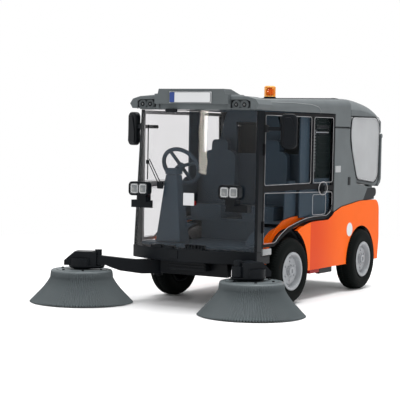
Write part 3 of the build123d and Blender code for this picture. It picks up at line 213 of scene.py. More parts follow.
tyre_rubber = moulded_plastic("tyre_rubber", RUBBER_BLACK, 0.60, grain=900.0, depth=0.00001, sheen=0.03)
brush_plastic = moulded_plastic("brush_plastic", BRUSH_GREY, 0.46, depth=SATIN)
brush_shade = moulded_plastic("brush_shade", BRUSH_SHADE_GREY, 0.55, depth=SATIN, sheen=0.05)
plate_plastic = moulded_plastic("plate_plastic", PLATE_WHITE, 0.35, depth=POLISHED, shade=0.03)
strip_blue = moulded_plastic("strip_blue", STRIP_BLUE, 0.35, depth=POLISHED)
flap_red = moulded_plastic("flap_red", FLAP_RED, 0.45, depth=SATIN, sheen=0.10)
lamp_grey = moulded_plastic("lamp_grey", LAMP_GREY, 0.25, depth=POLISHED, sheen=0.4, shade=0.2)
lamp_silver = moulded_plastic("lamp_silver", LAMP_SILVER, 0.22, depth=POLISHED, sheen=0.5, shade=0.15)
pane_highlight = moulded_plastic("pane_highlight", PANE_HIGHLIGHT_GREY, 0.25, depth=POLISHED, sheen=0.4, shade=0.20)
beacon_core_paint = moulded_plastic("beacon_core_paint", BEACON_CORE_AMBER, 0.3, depth=POLISHED)
pane_clear = clear_plastic("pane_clear", (0.88, 0.885, 0.895), 0.0, 1.02)
screen_clear = clear_plastic("screen_clear", (0.88, 0.865, 0.87), 0.0, 1.22)
lamp_clear = clear_plastic("lamp_clear", (0.93, 0.94, 0.95), 0.02, 1.4)
beacon_orange = clear_plastic("beacon_orange", (1.0, 0.64, 0.20), 0.03, 1.25)
pin_steel = moulded_plastic("pin_steel", STEEL_GREY, 0.3)
for metal in (mirror_silver, pin_steel):
    metal.node_tree.nodes["Principled BSDF"].inputs["Metallic"].default_value = 1.0

# Metres along Y: the painted shade, a deeper orange on the side, starts at the front arch's crease, and fades
# between these two
ARCH_CREASE_Y = -28.6 * MM
FADE_FROM_Y, FADE_TO_Y = -0.024, 0.030
SHADE_SHARE = 0.9


def paint_shade_behind_arch(material, shade_colour):
    """Paints shade on the side: a deeper orange behind the front arch, fading into the main one further back.
    """
    tree = material.node_tree
    shader = tree.nodes["Principled BSDF"]
    place = tree.nodes.new("ShaderNodeTexCoord").outputs["Object"]
    split = tree.nodes.new("ShaderNodeSeparateXYZ")
    tree.links.new(place, split.inputs["Vector"])
    back = tree.nodes.new("ShaderNodeMapRange")
    back.interpolation_type = "SMOOTHSTEP"
    back.inputs["From Min"].default_value = FADE_FROM_Y
    back.inputs["From Max"].default_value = FADE_TO_Y
    back.inputs["To Min"].default_value = SHADE_SHARE
    back.inputs["To Max"].default_value = 0.0
    tree.links.new(split.outputs["Y"], back.inputs["Value"])
    behind = combined(tree, "GREATER_THAN", split.outputs["Y"], ARCH_CREASE_Y)
    share = combined(tree, "MULTIPLY", back.outputs["Result"], behind)
    mix = tree.nodes.new("ShaderNodeMix")
    mix.data_type = "RGBA"
    base = shader.inputs["Base Color"].links[0].from_socket
    tree.links.new(base, mix.inputs["A"])
    mix.inputs["B"].default_value = (*shade_colour, 1)
    tree.links.new(share, mix.inputs["Factor"])
    tree.links.new(mix.outputs["Result"], shader.inputs["Base Color"])


# Painted shade: the side behind the front arch is a deeper orange
paint_shade_behind_arch(orange_shell, ORANGE_PAINTED_SHADE)

FINISHES = {
    "orange_body": orange_shell,
    "grey_roof": roof_plastic,
    "light_panel": light_panel,
    "black_plastic": black_plastic,
    "interior": cab_plastic,
    "clear_plastic": pane_clear,
    "lamp_clear": lamp_clear,
    "beacon_orange": beacon_orange,
    "plate_white": plate_plastic,
    "rim_grey": rim_plastic,
    "tyre_rubber": tyre_rubber,
    "brush_grey": brush_plastic,
    "axle_steel": pin_steel,
}

# ------------------------------------------------------------------ modelling helpers


def only(piece):
    """Deselects everything, then selects the piece and makes it active."""
    bpy.ops.object.select_all(action="DESELECT")
    piece.select_set(True)
    bpy.context.view_layer.objects.active = piece


def paint(piece, material):
    """Gives the whole piece one material."""
    piece.data.materials.clear()
    piece.data.materials.append(material)


def apply_modifiers(piece):
    """Applies the piece's modifiers, first to last."""
    only(piece)
    for modifier in list(piece.modifiers):
        bpy.ops.object.modifier_apply(modifier=modifier.name)


def soften(piece, width, segments=2, angle=32.0):
    """Rounds the sharp edges by width and shades the result smooth."""
    bevel = piece.modifiers.new("edges", "BEVEL")
    bevel.width = width
    bevel.segments = segments
    bevel.limit_method = "ANGLE"
    bevel.angle_limit = math.radians(angle)
    bevel.use_clamp_overlap = True
    apply_modifiers(piece)
    bpy.ops.object.shade_smooth_by_angle(angle=math.radians(40))
    weights = piece.modifiers.new("shading", "WEIGHTED_NORMAL")
    weights.keep_sharp = True
    apply_modifiers(piece)


def mount(piece, body, slot, *replaced):
    """Puts the piece's place into its mesh, and has it ride on its body."""
    only(piece)
    bpy.ops.object.transform_apply(location=True, rotation=True, scale=True)
    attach(piece, body)
    if replaced:
        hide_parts(*replaced)
    return piece


def dressed(node, width, segments=2):
    """A copy of a moulded part with its edges rounded, which stands for the part."""
    piece = nodes[node].copy()
    piece.data = nodes[node].data.copy()
    piece.name = "dressed_" + node
    piece.parent = None
    for key in list(piece.keys()):
        del piece[key]
    bpy.context.scene.collection.objects.link(piece)
    only(piece)
    bpy.ops.object.mode_set(mode="EDIT")
    bpy.ops.mesh.customdata_custom_splitnormals_clear()
    bpy.ops.mesh.select_all(action="SELECT")
    bpy.ops.mesh.remove_doubles(threshold=0.00002)
    bpy.ops.mesh.dissolve_limited(angle_limit=math.radians(0.8))
    bpy.ops.object.mode_set(mode="OBJECT")
    paint(piece, FINISHES[slot_of_node[node]])
    if width:
        soften(piece, width * MM, segments)
    else:
        bpy.ops.object.shade_smooth_by_angle(angle=math.radians(32))
    return mount(piece, body_of_node[node], slot_of_node[node], node)


def choose(piece, wanted):
    """Selects in edit mode the vertices that the test wants."""
    only(piece)
    bpy.ops.object.mode_set(mode="EDIT")
    bpy.ops.mesh.select_mode(type="VERT")
    bpy.ops.mesh.select_all(action="DESELECT")
    bpy.ops.object.mode_set(mode="OBJECT")
    for vertex in piece.data.vertices:
        vertex.select = wanted(vertex.co / MM)
    bpy.ops.object.mode_set(mode="EDIT")


def turned(name, rings, segments, bored=False):
    """A round piece about Z, drawn out ring by ring: (radius, height) in millimetres.

    Its ends are closed, or a bored piece's last ring is joined to its first.
    """
    bpy.ops.object.select_all(action="DESELECT")
    radius, height = rings[0]
    bpy.ops.mesh.primitive_circle_add(vertices=segments, radius=radius * MM, location=(0, 0, height * MM))
    piece = bpy.context.object
    piece.name = name
    bpy.ops.object.transform_apply(location=True, rotation=False, scale=False)
    bpy.ops.object.mode_set(mode="EDIT")
    bpy.ops.mesh.select_all(action="SELECT")
    for next_radius, next_height in rings[1:]:
        rise = (0, 0, (next_height - height) * MM)
        bpy.ops.mesh.extrude_region_move(TRANSFORM_OT_translate={"value": rise})
        growth = next_radius / radius
        bpy.ops.transform.resize(value=(growth, growth, 1), center_override=(0, 0, 0))
        radius, height = next_radius, next_height
    bpy.ops.mesh.select_all(action="SELECT")
    if bored:
        bpy.ops.mesh.select_mode(type="EDGE")
        bpy.ops.mesh.select_all(action="DESELECT")
        bpy.ops.mesh.select_non_manifold()
        bpy.ops.mesh.bridge_edge_loops()
    else:
        bpy.ops.mesh.fill_holes(sides=0)
    bpy.ops.mesh.select_all(action="SELECT")
    bpy.ops.mesh.normals_make_consistent(inside=False)
    bpy.ops.object.mode_set(mode="OBJECT")
    return piece


def column(point, count):
    """Which of the count columns round Z a point is in."""
    return round(math.atan2(point.y, point.x) / math.tau * count) % count


def press(piece, wanted, share):
    """Brings the wanted vertices nearer to the Z axis, to a share of their radius."""
    choose(piece, wanted)
    bpy.ops.transform.resize(value=(share, share, 1), center_override=(0, 0, 0))
    bpy.ops.object.mode_set(mode="OBJECT")


def shift(piece, wanted, move):
    """Moves the wanted vertices, in millimetres."""
    choose(piece, wanted)
    bpy.ops.transform.translate(value=Vector(move) * MM)
    bpy.ops.object.mode_set(mode="OBJECT")


def smooth(piece, angle):
    """Shades the piece smooth, apart from edges sharper than the angle."""
    only(piece)
    bpy.ops.object.shade_smooth_by_angle(angle=math.radians(angle))


def copied(piece, name, place):
    """A copy with its own mesh, moved by a matrix."""
    twin = piece.copy()
    twin.data = piece.data.copy()
    twin.name = name
    bpy.context.scene.collection.objects.link(twin)
    twin.matrix_world = place @ piece.matrix_world
    return twin


def joined(pieces):
    """One object from several; the first keeps its name."""
    only(pieces[0])
    for piece in pieces:
        piece.select_set(True)
    bpy.ops.object.join()
    return pieces[0]


def around(piece, name, places):
    """Copies of a piece at each place, joined; the piece itself is removed."""
    whole = joined([copied(piece, name, place) for place in places])
    bpy.data.objects.remove(piece)
    return whole


def move(x, y, z):
    """A shift in millimetres, as a matrix."""
    return Matrix.Translation(Vector((x, y, z)) * MM)


def turn(angle, axis):
    """A turn in degrees, as a matrix."""
    return Matrix.Rotation(math.radians(angle), 4, axis)


def cornered(points, radius, steps=3, closed=False):
    """A line's points with its corners rounded."""
    points = [Vector(point) for point in points]
    line = []
    for k, point in enumerate(points):
        if not closed and k in (0, len(points) - 1):
            line.append(point)
            continue
        before, after = points[k - 1], points[(k + 1) % len(points)]
        start = point + (before - point).normalized() * min(radius, (before - point).length * 0.45)
        end = point + (after - point).normalized() * min(radius, (after - point).length * 0.45)
        for step in range(steps + 1):
            t = step / steps
            line.append(start * (1 - t) ** 2 + point * 2 * t * (1 - t) + end * t ** 2)
    return line


def bead(name, points, thickness, rounding=0.0, closed=False):
    """A thin round bead along a line, in millimetres."""
    line = cornered(points, rounding, closed=closed) if rounding else [Vector(point) for point in points]
    bpy.ops.object.select_all(action="DESELECT")
    bpy.ops.curve.primitive_nurbs_path_add()
    piece = bpy.context.object
    piece.name = name
    curve = piece.data
    curve.splines.clear()
    spline = curve.splines.new("POLY")
    spline.points.add(len(line) - 1)
    for point, spot in zip(spline.points, line):
        point.co = (*(spot * MM), 1)
    spline.use_cyclic_u = closed
    curve.dimensions = "3D"
    curve.bevel_depth = thickness / 2 * MM
    curve.bevel_resolution = 1
    curve.use_fill_caps = True
    bpy.ops.object.convert(target="MESH")
    smooth(piece, 60)
    return piece


def sheet(name, corners, axis, start, end, rounding=0.0, segments=4):
    """A flat moulding: its outline lies in the two other axes, and is drawn out along the axis."""
    bpy.ops.object.select_all(action="DESELECT")
    bpy.ops.mesh.primitive_circle_add(vertices=len(corners), radius=MM, fill_type="NGON")
    piece = bpy.context.object
    piece.name = name
    for index, (a, b) in enumerate(corners):
        spot = {"X": (start, a, b), "Y": (a, start, b), "Z": (a, b, start)}[axis]
        way = Vector(spot) * MM - piece.data.vertices[index].co
        bpy.ops.object.mode_set(mode="EDIT")
        bpy.ops.mesh.select_mode(type="VERT")
        bpy.ops.mesh.select_all(action="DESELECT")
        bpy.ops.object.mode_set(mode="OBJECT")
        piece.data.vertices[index].select = True
        bpy.ops.object.mode_set(mode="EDIT")
        bpy.ops.transform.translate(value=way)
        bpy.ops.object.mode_set(mode="OBJECT")
    bpy.ops.object.mode_set(mode="EDIT")
    bpy.ops.mesh.select_all(action="SELECT")
    if rounding:
        bpy.ops.mesh.bevel(offset=rounding * MM, affect="VERTICES", segments=segments)
        bpy.ops.mesh.select_all(action="SELECT")
    rise = Vector({"X": (1, 0, 0), "Y": (0, 1, 0), "Z": (0, 0, 1)}[axis]) * (end - start) * MM
    bpy.ops.mesh.select_mode(type="FACE")
    bpy.ops.mesh.select_all(action="SELECT")
    bpy.ops.mesh.extrude_region_move(TRANSFORM_OT_translate={"value": rise})
    bpy.ops.mesh.select_all(action="SELECT")
    bpy.ops.mesh.normals_make_consistent(inside=False)
    bpy.ops.mesh.select_mode(type="VERT")
    bpy.ops.object.mode_set(mode="OBJECT")
    return piece


def block(name, low, high, edge=0.3, segments=2):
    """A box with rounded edges between two corners."""
    low, high = Vector(low), Vector(high)
    outline = [(low.x, low.y), (high.x, low.y), (high.x, high.y), (low.x, high.y)]
    piece = sheet(name, outline, "Z", low.z, high.z)
    soften(piece, edge * MM, segments)
    return piece


def side_block(name, side, across, low, high, edge):
    """A block on one side of the vehicle: across is its reach in X, and low and high are (y, z)."""
    low_x, high_x = sorted(side * x for x in across)
    return block(name, (low_x, *low), (high_x, *high), edge)


def inset_front(piece, wanted, margin, sink):
    """Insets the faces that the test wants and moves them by sink, in millimetres."""
    only(piece)
    bpy.ops.object.mode_set(mode="EDIT")
    bpy.ops.mesh.select_mode(type="FACE")
    bpy.ops.mesh.select_all(action="DESELECT")
    bpy.ops.object.mode_set(mode="OBJECT")
    for face in piece.data.polygons:
        face.select = wanted(face.normal)
    bpy.ops.object.mode_set(mode="EDIT")
    bpy.ops.mesh.inset(thickness=margin * MM, depth=0)
    bpy.ops.transform.translate(value=Vector(sink) * MM)
    bpy.ops.mesh.select_mode(type="VERT")
    bpy.ops.object.mode_set(mode="OBJECT")


def repaint(piece, material, wanted):
    """Gives another material to the faces that the test wants, by their middle and normal."""
    if material.name not in piece.data.materials:
        piece.data.materials.append(material)
    slot_number = piece.data.materials.find(material.name)
    for face in piece.data.polygons:
        if wanted(face.center / MM, face.normal):
            face.material_index = slot_number


def placed(piece, body, material, slot):
    """Paints a piece and has it ride on its body."""
    paint(piece, material)
    return mount(piece, body, slot)


# ------------------------------------------------------------------ side brushes
# One rib takes four columns of the skirt: the groove, a flank, the crest and a flank
RIBS = 112
COLUMNS = RIBS * 4
# Grooves and flanks lie at these shares of the crest's radius
GROOVE, FLANK = 0.950, 0.962
# The outline, from the hub over the top, down the outside and back below: (radius, height)
SKIRT = [(16.0, 23.0), (18.6, 23.2), (19.2, 23.6), (20.9, 23.6), (21.6, 23.25), (22.0, 22.6), (22.3, 20.8),
         (22.5, 19.0), (22.4, 18.6), (22.5, 18.3), (23.0, 17.3), (24.2, 15.2), (25.9, 12.8), (28.0, 10.2),
         (30.6, 7.4), (33.5, 4.4), (36.6, 1.2), (37.15, 0.6), (36.9, 0.42), (35.2, 0.5), (33.0, 1.4),
         (30.0, 3.0), (22.0, 5.4), (10.0, 6.0), (2.3, 6.2)]
OUTSIDE = SKIRT[6:18]
# The ribs end below the band, and reach this far in from the outside
BAND_LOW, RIB_DEPTH = 20.9, 0.9
# The lower edge lies below this height and outside this radius; faces below the last height get painted shade
EDGE_TOP, EDGE_RADIUS, SHADE_TOP = 0.9, 33.7, 0.7
# How far the edge is drawn up in the grooves and on the flanks, which leaves teeth
GROOVE_RISE, FLANK_RISE = 1.3, 0.35


def skirt_radius(height):
    """Outer radius of the skirt at a height."""
    for (r0, z0), (r1, z1) in zip(OUTSIDE, OUTSIDE[1:]):
        if z0 >= height >= z1:
            return r0 + (r1 - r0) * (z0 - height) / (z0 - z1)
    return OUTSIDE[-1][0]


def on_ribs(point):
    """True on the ribbed outside."""
    return point.z < BAND_LOW and math.hypot(point.x, point.y) > skirt_radius(point.z) - RIB_DEPTH


def on_edge(point):
    """True on the lower edge."""
    return point.z < EDGE_TOP and math.hypot(point.x, point.y) > EDGE_RADIUS


def in_groove(point):
    return column(point, COLUMNS) % 4 == 0


def on_flank(point):
    return column(point, COLUMNS) % 4 in (1, 3)


def beside_groove(point):
    """True at the middle of a face that goes down into a groove."""
    return math.floor(math.atan2(point.y, point.x) / math.tau * COLUMNS) % 4 in (0, 3)


skirt = turned("brush_skirt", SKIRT, COLUMNS)
press(skirt, lambda p: on_ribs(p) and in_groove(p), GROOVE)
press(skirt, lambda p: on_ribs(p) and on_flank(p), FLANK)
shift(skirt, lambda p: on_edge(p) and in_groove(p), (0, 0, GROOVE_RISE))
shift(skirt, lambda p: on_edge(p) and on_flank(p), (0, 0, FLANK_RISE))
smooth(skirt, 50)
paint(skirt, brush_plastic)
# Painted shade: the faces underneath and the faces going down into the grooves are darker
repaint(skirt, brush_shade, lambda p, n: p.z < SHADE_TOP or on_ribs(p) and beside_groove(p))

BOLT_RADIUS = 15.4
BOLT_ANGLES = (8, 68, 128, 188, 248, 308)
bolt_head = turned("bolt_head", [(0.15, 0.9), (0.7, 0.9), (0.95, 0.65), (1.0, 0.0), (1.0, -0.5),
                                 (0.15, -0.5)], 12)
smooth(bolt_head, 30)
paint(bolt_head, black_plastic)

for side in ("left", "right"):
    low, high = (Vector(corner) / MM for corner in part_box("brush_plate_" + side))
    centre = (low + high) / 2
    place = move(centre.x, centre.y, 0)
    brush = copied(skirt, "brush_skirt_" + side, place)
    mount(brush, "brush_" + side, "brush_grey", "bristles_" + side)
    bolt_places = [place @ turn(angle, "Z") @ move(BOLT_RADIUS, 0, high.z) for angle in BOLT_ANGLES]
    bolts = around(copied(bolt_head, "bolt", Matrix.Identity(4)), "brush_bolts_" + side, bolt_places)
    mount(bolts, "brush_" + side, "black_plastic")
for piece in (skirt, bolt_head):
    bpy.data.objects.remove(piece)

# ------------------------------------------------------------------ wheels, turned about their own axle
HALF_WHEELBASE, AXLE_HEIGHT = 62.5, 24.2
# The outlines of tyre and rim, outer side first: (radius, distance from the wheel's middle)
TREAD = [(13.3, 5.6), (14.1, 6.9), (14.3, 7.3), (14.9, 7.45), (15.4, 7.1), (16.2, 7.25), (18.0, 7.45),
         (19.8, 7.5), (20.4, 7.3), (20.8, 7.35), (21.7, 6.9), (22.5, 6.3), (23.3, 5.3), (23.9, 4.2),
         (24.18, 3.2), (24.2, 1.3), (23.6, 1.0), (23.6, -1.0)]
tread_other = [(radius, -out) for radius, out in reversed(TREAD[:-2])]
LUGS = 72
tyre = turned("tyre", TREAD + tread_other, LUGS * 4, bored=True)
# Notches between the lugs: between two distances from the middle, outside a radius, to a share of it
NOTCH_FROM, NOTCH_TO, NOTCH_RADIUS, NOTCH = 1.2, 6.5, 23.0, 0.984
press(tyre, lambda p: NOTCH_FROM < p.z < NOTCH_TO and p.xy.length > NOTCH_RADIUS
      and column(p, LUGS * 4) % 4 == 0, NOTCH)
press(tyre, lambda p: NOTCH_FROM < -p.z < NOTCH_TO and p.xy.length > NOTCH_RADIUS
      and column(p, LUGS * 4) % 4 == 2, NOTCH)
smooth(tyre, 34)
paint(tyre, tyre_rubber)

RIM = [(0.3, 5.9), (1.5, 5.9), (1.7, 6.7), (2.7, 6.7), (3.1, 6.3), (3.2, 5.2), (3.7, 5.1), (3.9, 4.2),
       (4.7, 4.1), (5.0, 4.5), (9.2, 4.5), (9.6, 4.1), (10.0, 3.7), (11.2, 3.5), (11.5, 4.2), (11.7, 6.6),
       (12.1, 7.2), (12.7, 7.4), (13.4, 7.35), (13.9, 7.1), (14.02, 6.4), (13.2, 5.5), (13.2, -5.5),
       (14.0, -6.4), (14.0, -7.2), (13.0, -7.4), (12.0, -6.8), (11.8, -5.0), (11.8, 2.3), (4.2, 2.3),
       (4.2, 1.3), (1.7, 1.3), (1.7, 4.8), (0.3, 4.8)]
rim = turned("rim", RIM, 72)
smooth(rim, 34)
paint(rim, rim_plastic)
# Its inner side is black
repaint(rim, black_plastic, lambda p, n: p.z < 1.0 or n.z < -0.3)
STUDS, STUD_CIRCLE = 6, 7.0
stud = turned("stud", [(0.12, 5.3), (0.45, 5.3), (0.70, 5.1), (0.75, 4.3), (0.12, 4.3)], 12)
smooth(stud, 30)
paint(stud, rim_plastic)
studs = around(stud, "studs", [turn(360 / STUDS * k, "Z") @ move(STUD_CIRCLE, 0, 0) for k in range(STUDS)])
rim = joined([rim, studs])

WHEEL_MID_X, KINGPIN_X = 46.9, 43.0
# The front wheels are stored a little turned
STEER_REST = -3.9
for label, side, axle_y, steer in (
    ("front_left", 1, -HALF_WHEELBASE, STEER_REST), ("front_right", -1, -HALF_WHEELBASE, STEER_REST),
    ("rear_left", 1, HALF_WHEELBASE, 0), ("rear_right", -1, HALF_WHEELBASE, 0),
):
    kingpin = move(side * KINGPIN_X, axle_y, AXLE_HEIGHT) @ turn(steer, "Z")
    place = kingpin @ move(side * (WHEEL_MID_X - KINGPIN_X), 0, 0) @ turn(90 * side, "Y")
    mount(copied(tyre, "tread_tyre_" + label, place), "wheel_" + label, "tyre_rubber", "tyre_" + label)
    mount(copied(rim, "rim_and_studs_" + label, place), "wheel_" + label, "rim_grey", "rim_" + label)
for piece in (tyre, rim):
    bpy.data.objects.remove(piece)

# ------------------------------------------------------------------ moulded parts and their edge rounding
# The radius of each part's edges in millimetres; 0 leaves them as they are
ROUNDING = {
    "body_shell": 0.7, "wheel_wells": 0.0, "rear_fairing": 0.6, "cab_roof": 0.5, "hopper_roof": 0.3,
    "hopper_shell": 0.5, "hopper_sides": 0.6, "hopper_flap": 0.4, "front_bumper": 0.7, "cab_pillars": 0.4,
    "windscreen": 0.3, "chassis": 0.4, "front_axle": 0.3, "rear_axle": 0.3, "cab_floor": 0.5,
    "steering_column": 1.2, "steering_wheel": 0.2, "tip_brackets": 0.4, "louvre_panels": 0.25,
    "corner_lamps": 0.7, "number_plate": 0.3, "roof_lamps": 0.3, "beacon_base": 0.3, "beacon_lens": 0.3,
    "headlamp_lenses": 0.4, "suction_mouth": 0.8,
}
for side in ("left", "right"):
    for node, width in (
        ("headlamp_", 0.5), ("seat_", 2.2), ("door_frame_", 0.35), ("door_glass_", 0.2), ("mirror_", 1.3),
        ("arm_", 0.6), ("brush_head_", 0.6), ("brush_plate_", 0.3), ("knuckle_", 0.2),
    ):
        ROUNDING[node + side] = width
parts = {node: dressed(node, width) for node, width in ROUNDING.items()}

# ------------------------------------------------------------------ second colours on moulded parts
FRONT_AXLE, REAR_ARCH_MIDDLE = Vector((0, -HALF_WHEELBASE, AXLE_HEIGHT)), Vector((0, 63.5, 23.2))
FRONT_ARCH_RADIUS, REAR_ARCH_RADIUS, WELL_RADIUS = 31.0, 28.2, 29.8
# The lower body's inside lies within these, and the front wells reach into the cab within the last
INSIDE_X, INSIDE_Y, CAB_INSIDE_X = 48.2, 96.5, 39.5
# The part of a door's outline that stands before the cab's rear post, between two Y and above a Z
DOOR_POST_FRONT, DOOR_POST_BACK, DOOR_POST_LOW = -29, -24, 87


def from_axle(point, middle):
    """Distance from an axle's line across the vehicle."""
    return math.hypot(point.y - middle.y, point.z - middle.z)


def black_on_body(point, normal):
    """True inside the lower body and round its wheel arches."""
    inside = abs(point.x) < INSIDE_X and point.y < INSIDE_Y
    in_arch = (from_axle(point, FRONT_AXLE) < FRONT_ARCH_RADIUS
               or from_axle(point, REAR_ARCH_MIDDLE) < REAR_ARCH_RADIUS)
    return inside or abs(normal.x) < 0.6 and in_arch


repaint(parts["body_shell"], black_plastic, black_on_body)
# The front wells: black towards the wheel, orange along the sill and dark inside the cab
wells = parts["wheel_wells"]
only(wells)
for _, side in SIDES:
    bpy.ops.object.mode_set(mode="EDIT")
    bpy.ops.mesh.select_all(action="SELECT")
    bpy.ops.mesh.bisect(plane_co=(side * CAB_INSIDE_X * MM, 0, 0), plane_no=(1, 0, 0))
    bpy.ops.object.mode_set(mode="OBJECT")
repaint(wells, cab_plastic, lambda p, n: abs(p.x) < CAB_INSIDE_X)
repaint(wells, black_plastic, lambda p, n: from_axle(p, FRONT_AXLE) < WELL_RADIUS)
# The doors' outlines are black outside; their inner sides get a light grey, a painted highlight on the edge
# of the clear moulding
for label, side in SIDES:
    outline = parts["door_frame_" + label]
    paint(outline, seal_black)
    repaint(outline, pane_highlight, lambda p, n: n.x * side < -0.6)
    repaint(outline, cab_plastic, lambda p, n: n.x * side < -0.6
            and DOOR_POST_FRONT < p.y < DOOR_POST_BACK and p.z > DOOR_POST_LOW)
# The corner lamps are opaque light grey with strong mottling: their whitish look, and painted reflection
# streaks
for node, finish in (("corner_lamps", corner_lamp_with_reflections), ("windscreen", screen_clear),
                     ("roof_lamps", black_plastic), ("louvre_panels", louvre_plastic)):
    paint(parts[node], finish)

# ------------------------------------------------------------------ roof front: plate, lamps and cover
PLATE_FRONT = -122.1
strip = sheet("plate_strip", [(-16.6, 144.1), (-12.6, 144.1), (-12.6, 151.1), (-16.6, 151.1)], "Y",
              PLATE_FRONT + 0.1, PLATE_FRONT - 0.12, 0.4)
placed(strip, VEHICLE, strip_blue, "plate_white")
PLATE_OUTLINE = [(-16.7, 143.9), (16.7, 143.9), (16.7, 151.3), (-16.7, 151.3)]
plate_rim = bead("plate_rim", [(x, PLATE_FRONT, z) for x, z in PLATE_OUTLINE], 0.45, 0.9, True)
placed(plate_rim, VEHICLE, roof_plastic, "grey_roof")

bezel = turned("bezel", [(0.2, -0.35), (0.5, 0.15), (0.75, -0.25), (1.35, -0.55), (1.7, -0.35), (1.75, 0.15),
                         (2.0, 0.35), (2.2, 0.1), (2.25, -0.3), (2.55, -0.3), (2.6, 0.4), (2.95, 0.4),
                         (3.0, -0.8), (0.2, -0.8)], 28)
smooth(bezel, 30)
paint(bezel, roof_plastic)
repaint(bezel, lamp_silver, lambda p, n: p.xy.length < 0.6)
LAMP_Y, LAMP_Z = -118.3, 142.8
lamp_places = [move(x, LAMP_Y, LAMP_Z) @ turn(90, "X") for x in (-41.6, -35.2, 35.2, 41.6)]
lamps = around(bezel, "roof_lamp_bezels", lamp_places)
mount(lamps, VEHICLE, "grey_roof")
LAMP_ARCH = [(30.8, 139.4), (31.6, 146.2), (45.0, 146.2), (46.2, 139.4)]
for label, side in SIDES:
    arch = [(side * x, LAMP_Y + 0.9, z) for x, z in LAMP_ARCH]
    placed(bead("lamp_arch_" + label, arch, 0.8, 2.6), VEHICLE, black_plastic, "black_plastic")
cover = sheet("roof_sensor_cover", [(-20.6, 137.0), (-11.2, 137.0), (-11.2, 139.6), (-20.6, 139.6)], "Y",
              -119.6, -121.6, 1.25, 5)
soften(cover, 0.3 * MM)
placed(cover, VEHICLE, black_plastic, "black_plastic")

# ------------------------------------------------------------------ beacon
BEACON = move(24.0, -47.0, 0)
BEACON_RIBS = 16
core = turned("beacon_core", [(1.2, 151.0), (2.3, 151.2), (2.6, 152.4), (2.6, 155.2), (1.6, 156.6),
                              (0.4, 157.0)], 32)
press(core, lambda p: p.xy.length > 2.0 and column(p, 32) % 4 == 0, 0.86)
smooth(core, 30)
core.matrix_world = BEACON @ core.matrix_world
placed(core, VEHICLE, beacon_core_paint, "beacon_orange")
rib = block("beacon_rib", (3.75, -0.25, 150.6), (4.2, 0.25, 157.0), 0.15)
paint(rib, beacon_orange)
ribs = around(rib, "beacon_ribs", [BEACON @ turn(360 / BEACON_RIBS * k, "Z") for k in range(BEACON_RIBS)])
mount(ribs, VEHICLE, "beacon_orange")
cap = turned("beacon_cap", [(0.4, 158.25), (2.6, 158.25), (3.7, 158.0), (4.15, 157.5), (4.2, 156.9),
                            (3.9, 156.8), (0.4, 156.9)], 32)
smooth(cap, 30)
cap.matrix_world = BEACON @ cap.matrix_world
placed(cap, VEHICLE, beacon_core_paint, "beacon_orange")

# ------------------------------------------------------------------ door mirrors
MIRROR_MIDDLE, MIRROR_TURN = (64.2, -94.2, 125.0), 25
MIRROR_COVER = [(-4.2, -10.2), (4.4, -10.2), (4.6, -2.0), (1.6, 9.8), (-3.4, 9.8)]
MIRROR_GLASS = [(-4.6, -10.8), (4.6, -10.8), (4.6, 10.8), (-4.6, 10.8)]
for label, side in SIDES:
    mirror_body = body_of_node["mirror_" + label]
    x, y, z = MIRROR_MIDDLE
    place = move(side * x, y, z) @ turn(side * MIRROR_TURN, "Z")
    cover = sheet("mirror_cover_" + label, MIRROR_COVER, "Y", -2.0, -3.0, 1.6)
    soften(cover, 0.45 * MM, 3)
    cover.matrix_world = place @ cover.matrix_world
    placed(cover, mirror_body, black_plastic, "black_plastic")
    # The glass lies a little below its rim
    glass = sheet("mirror_glass_" + label, MIRROR_GLASS, "Y", 2.1, 2.45, 2.2)
    inset_front(glass, lambda n: n.y > 0.9, 0.4, (0, -0.15, 0))
    glass.matrix_world = place @ glass.matrix_world
    placed(glass, mirror_body, mirror_silver, "black_plastic")


# ------------------------------------------------------------------ hopper panels, roof and fairing lines
def on_side(carrier, y, z, side, rise):
    """The point on a carrier's side at (y, z), a little outside it, in millimetres."""
    hit, spot = carrier.ray_cast(Vector((side * 80, y, z)) * MM, Vector((-side, 0, 0)))[:2]
    return Vector((spot.x / MM + side * rise, y, z)) if hit else Vector((side * 50, y, z))


PANEL_LIP_X, PANEL_GROOVE_X = 50.55, 50.45
PANEL_OUTLINE = [(43.6, 136.6), (41.6, 124.0), (44.6, 111.0), (54.6, 89.2), (88.0, 85.6), (94.2, 90.0),
                 (96.4, 131.0), (90.0, 136.9)]
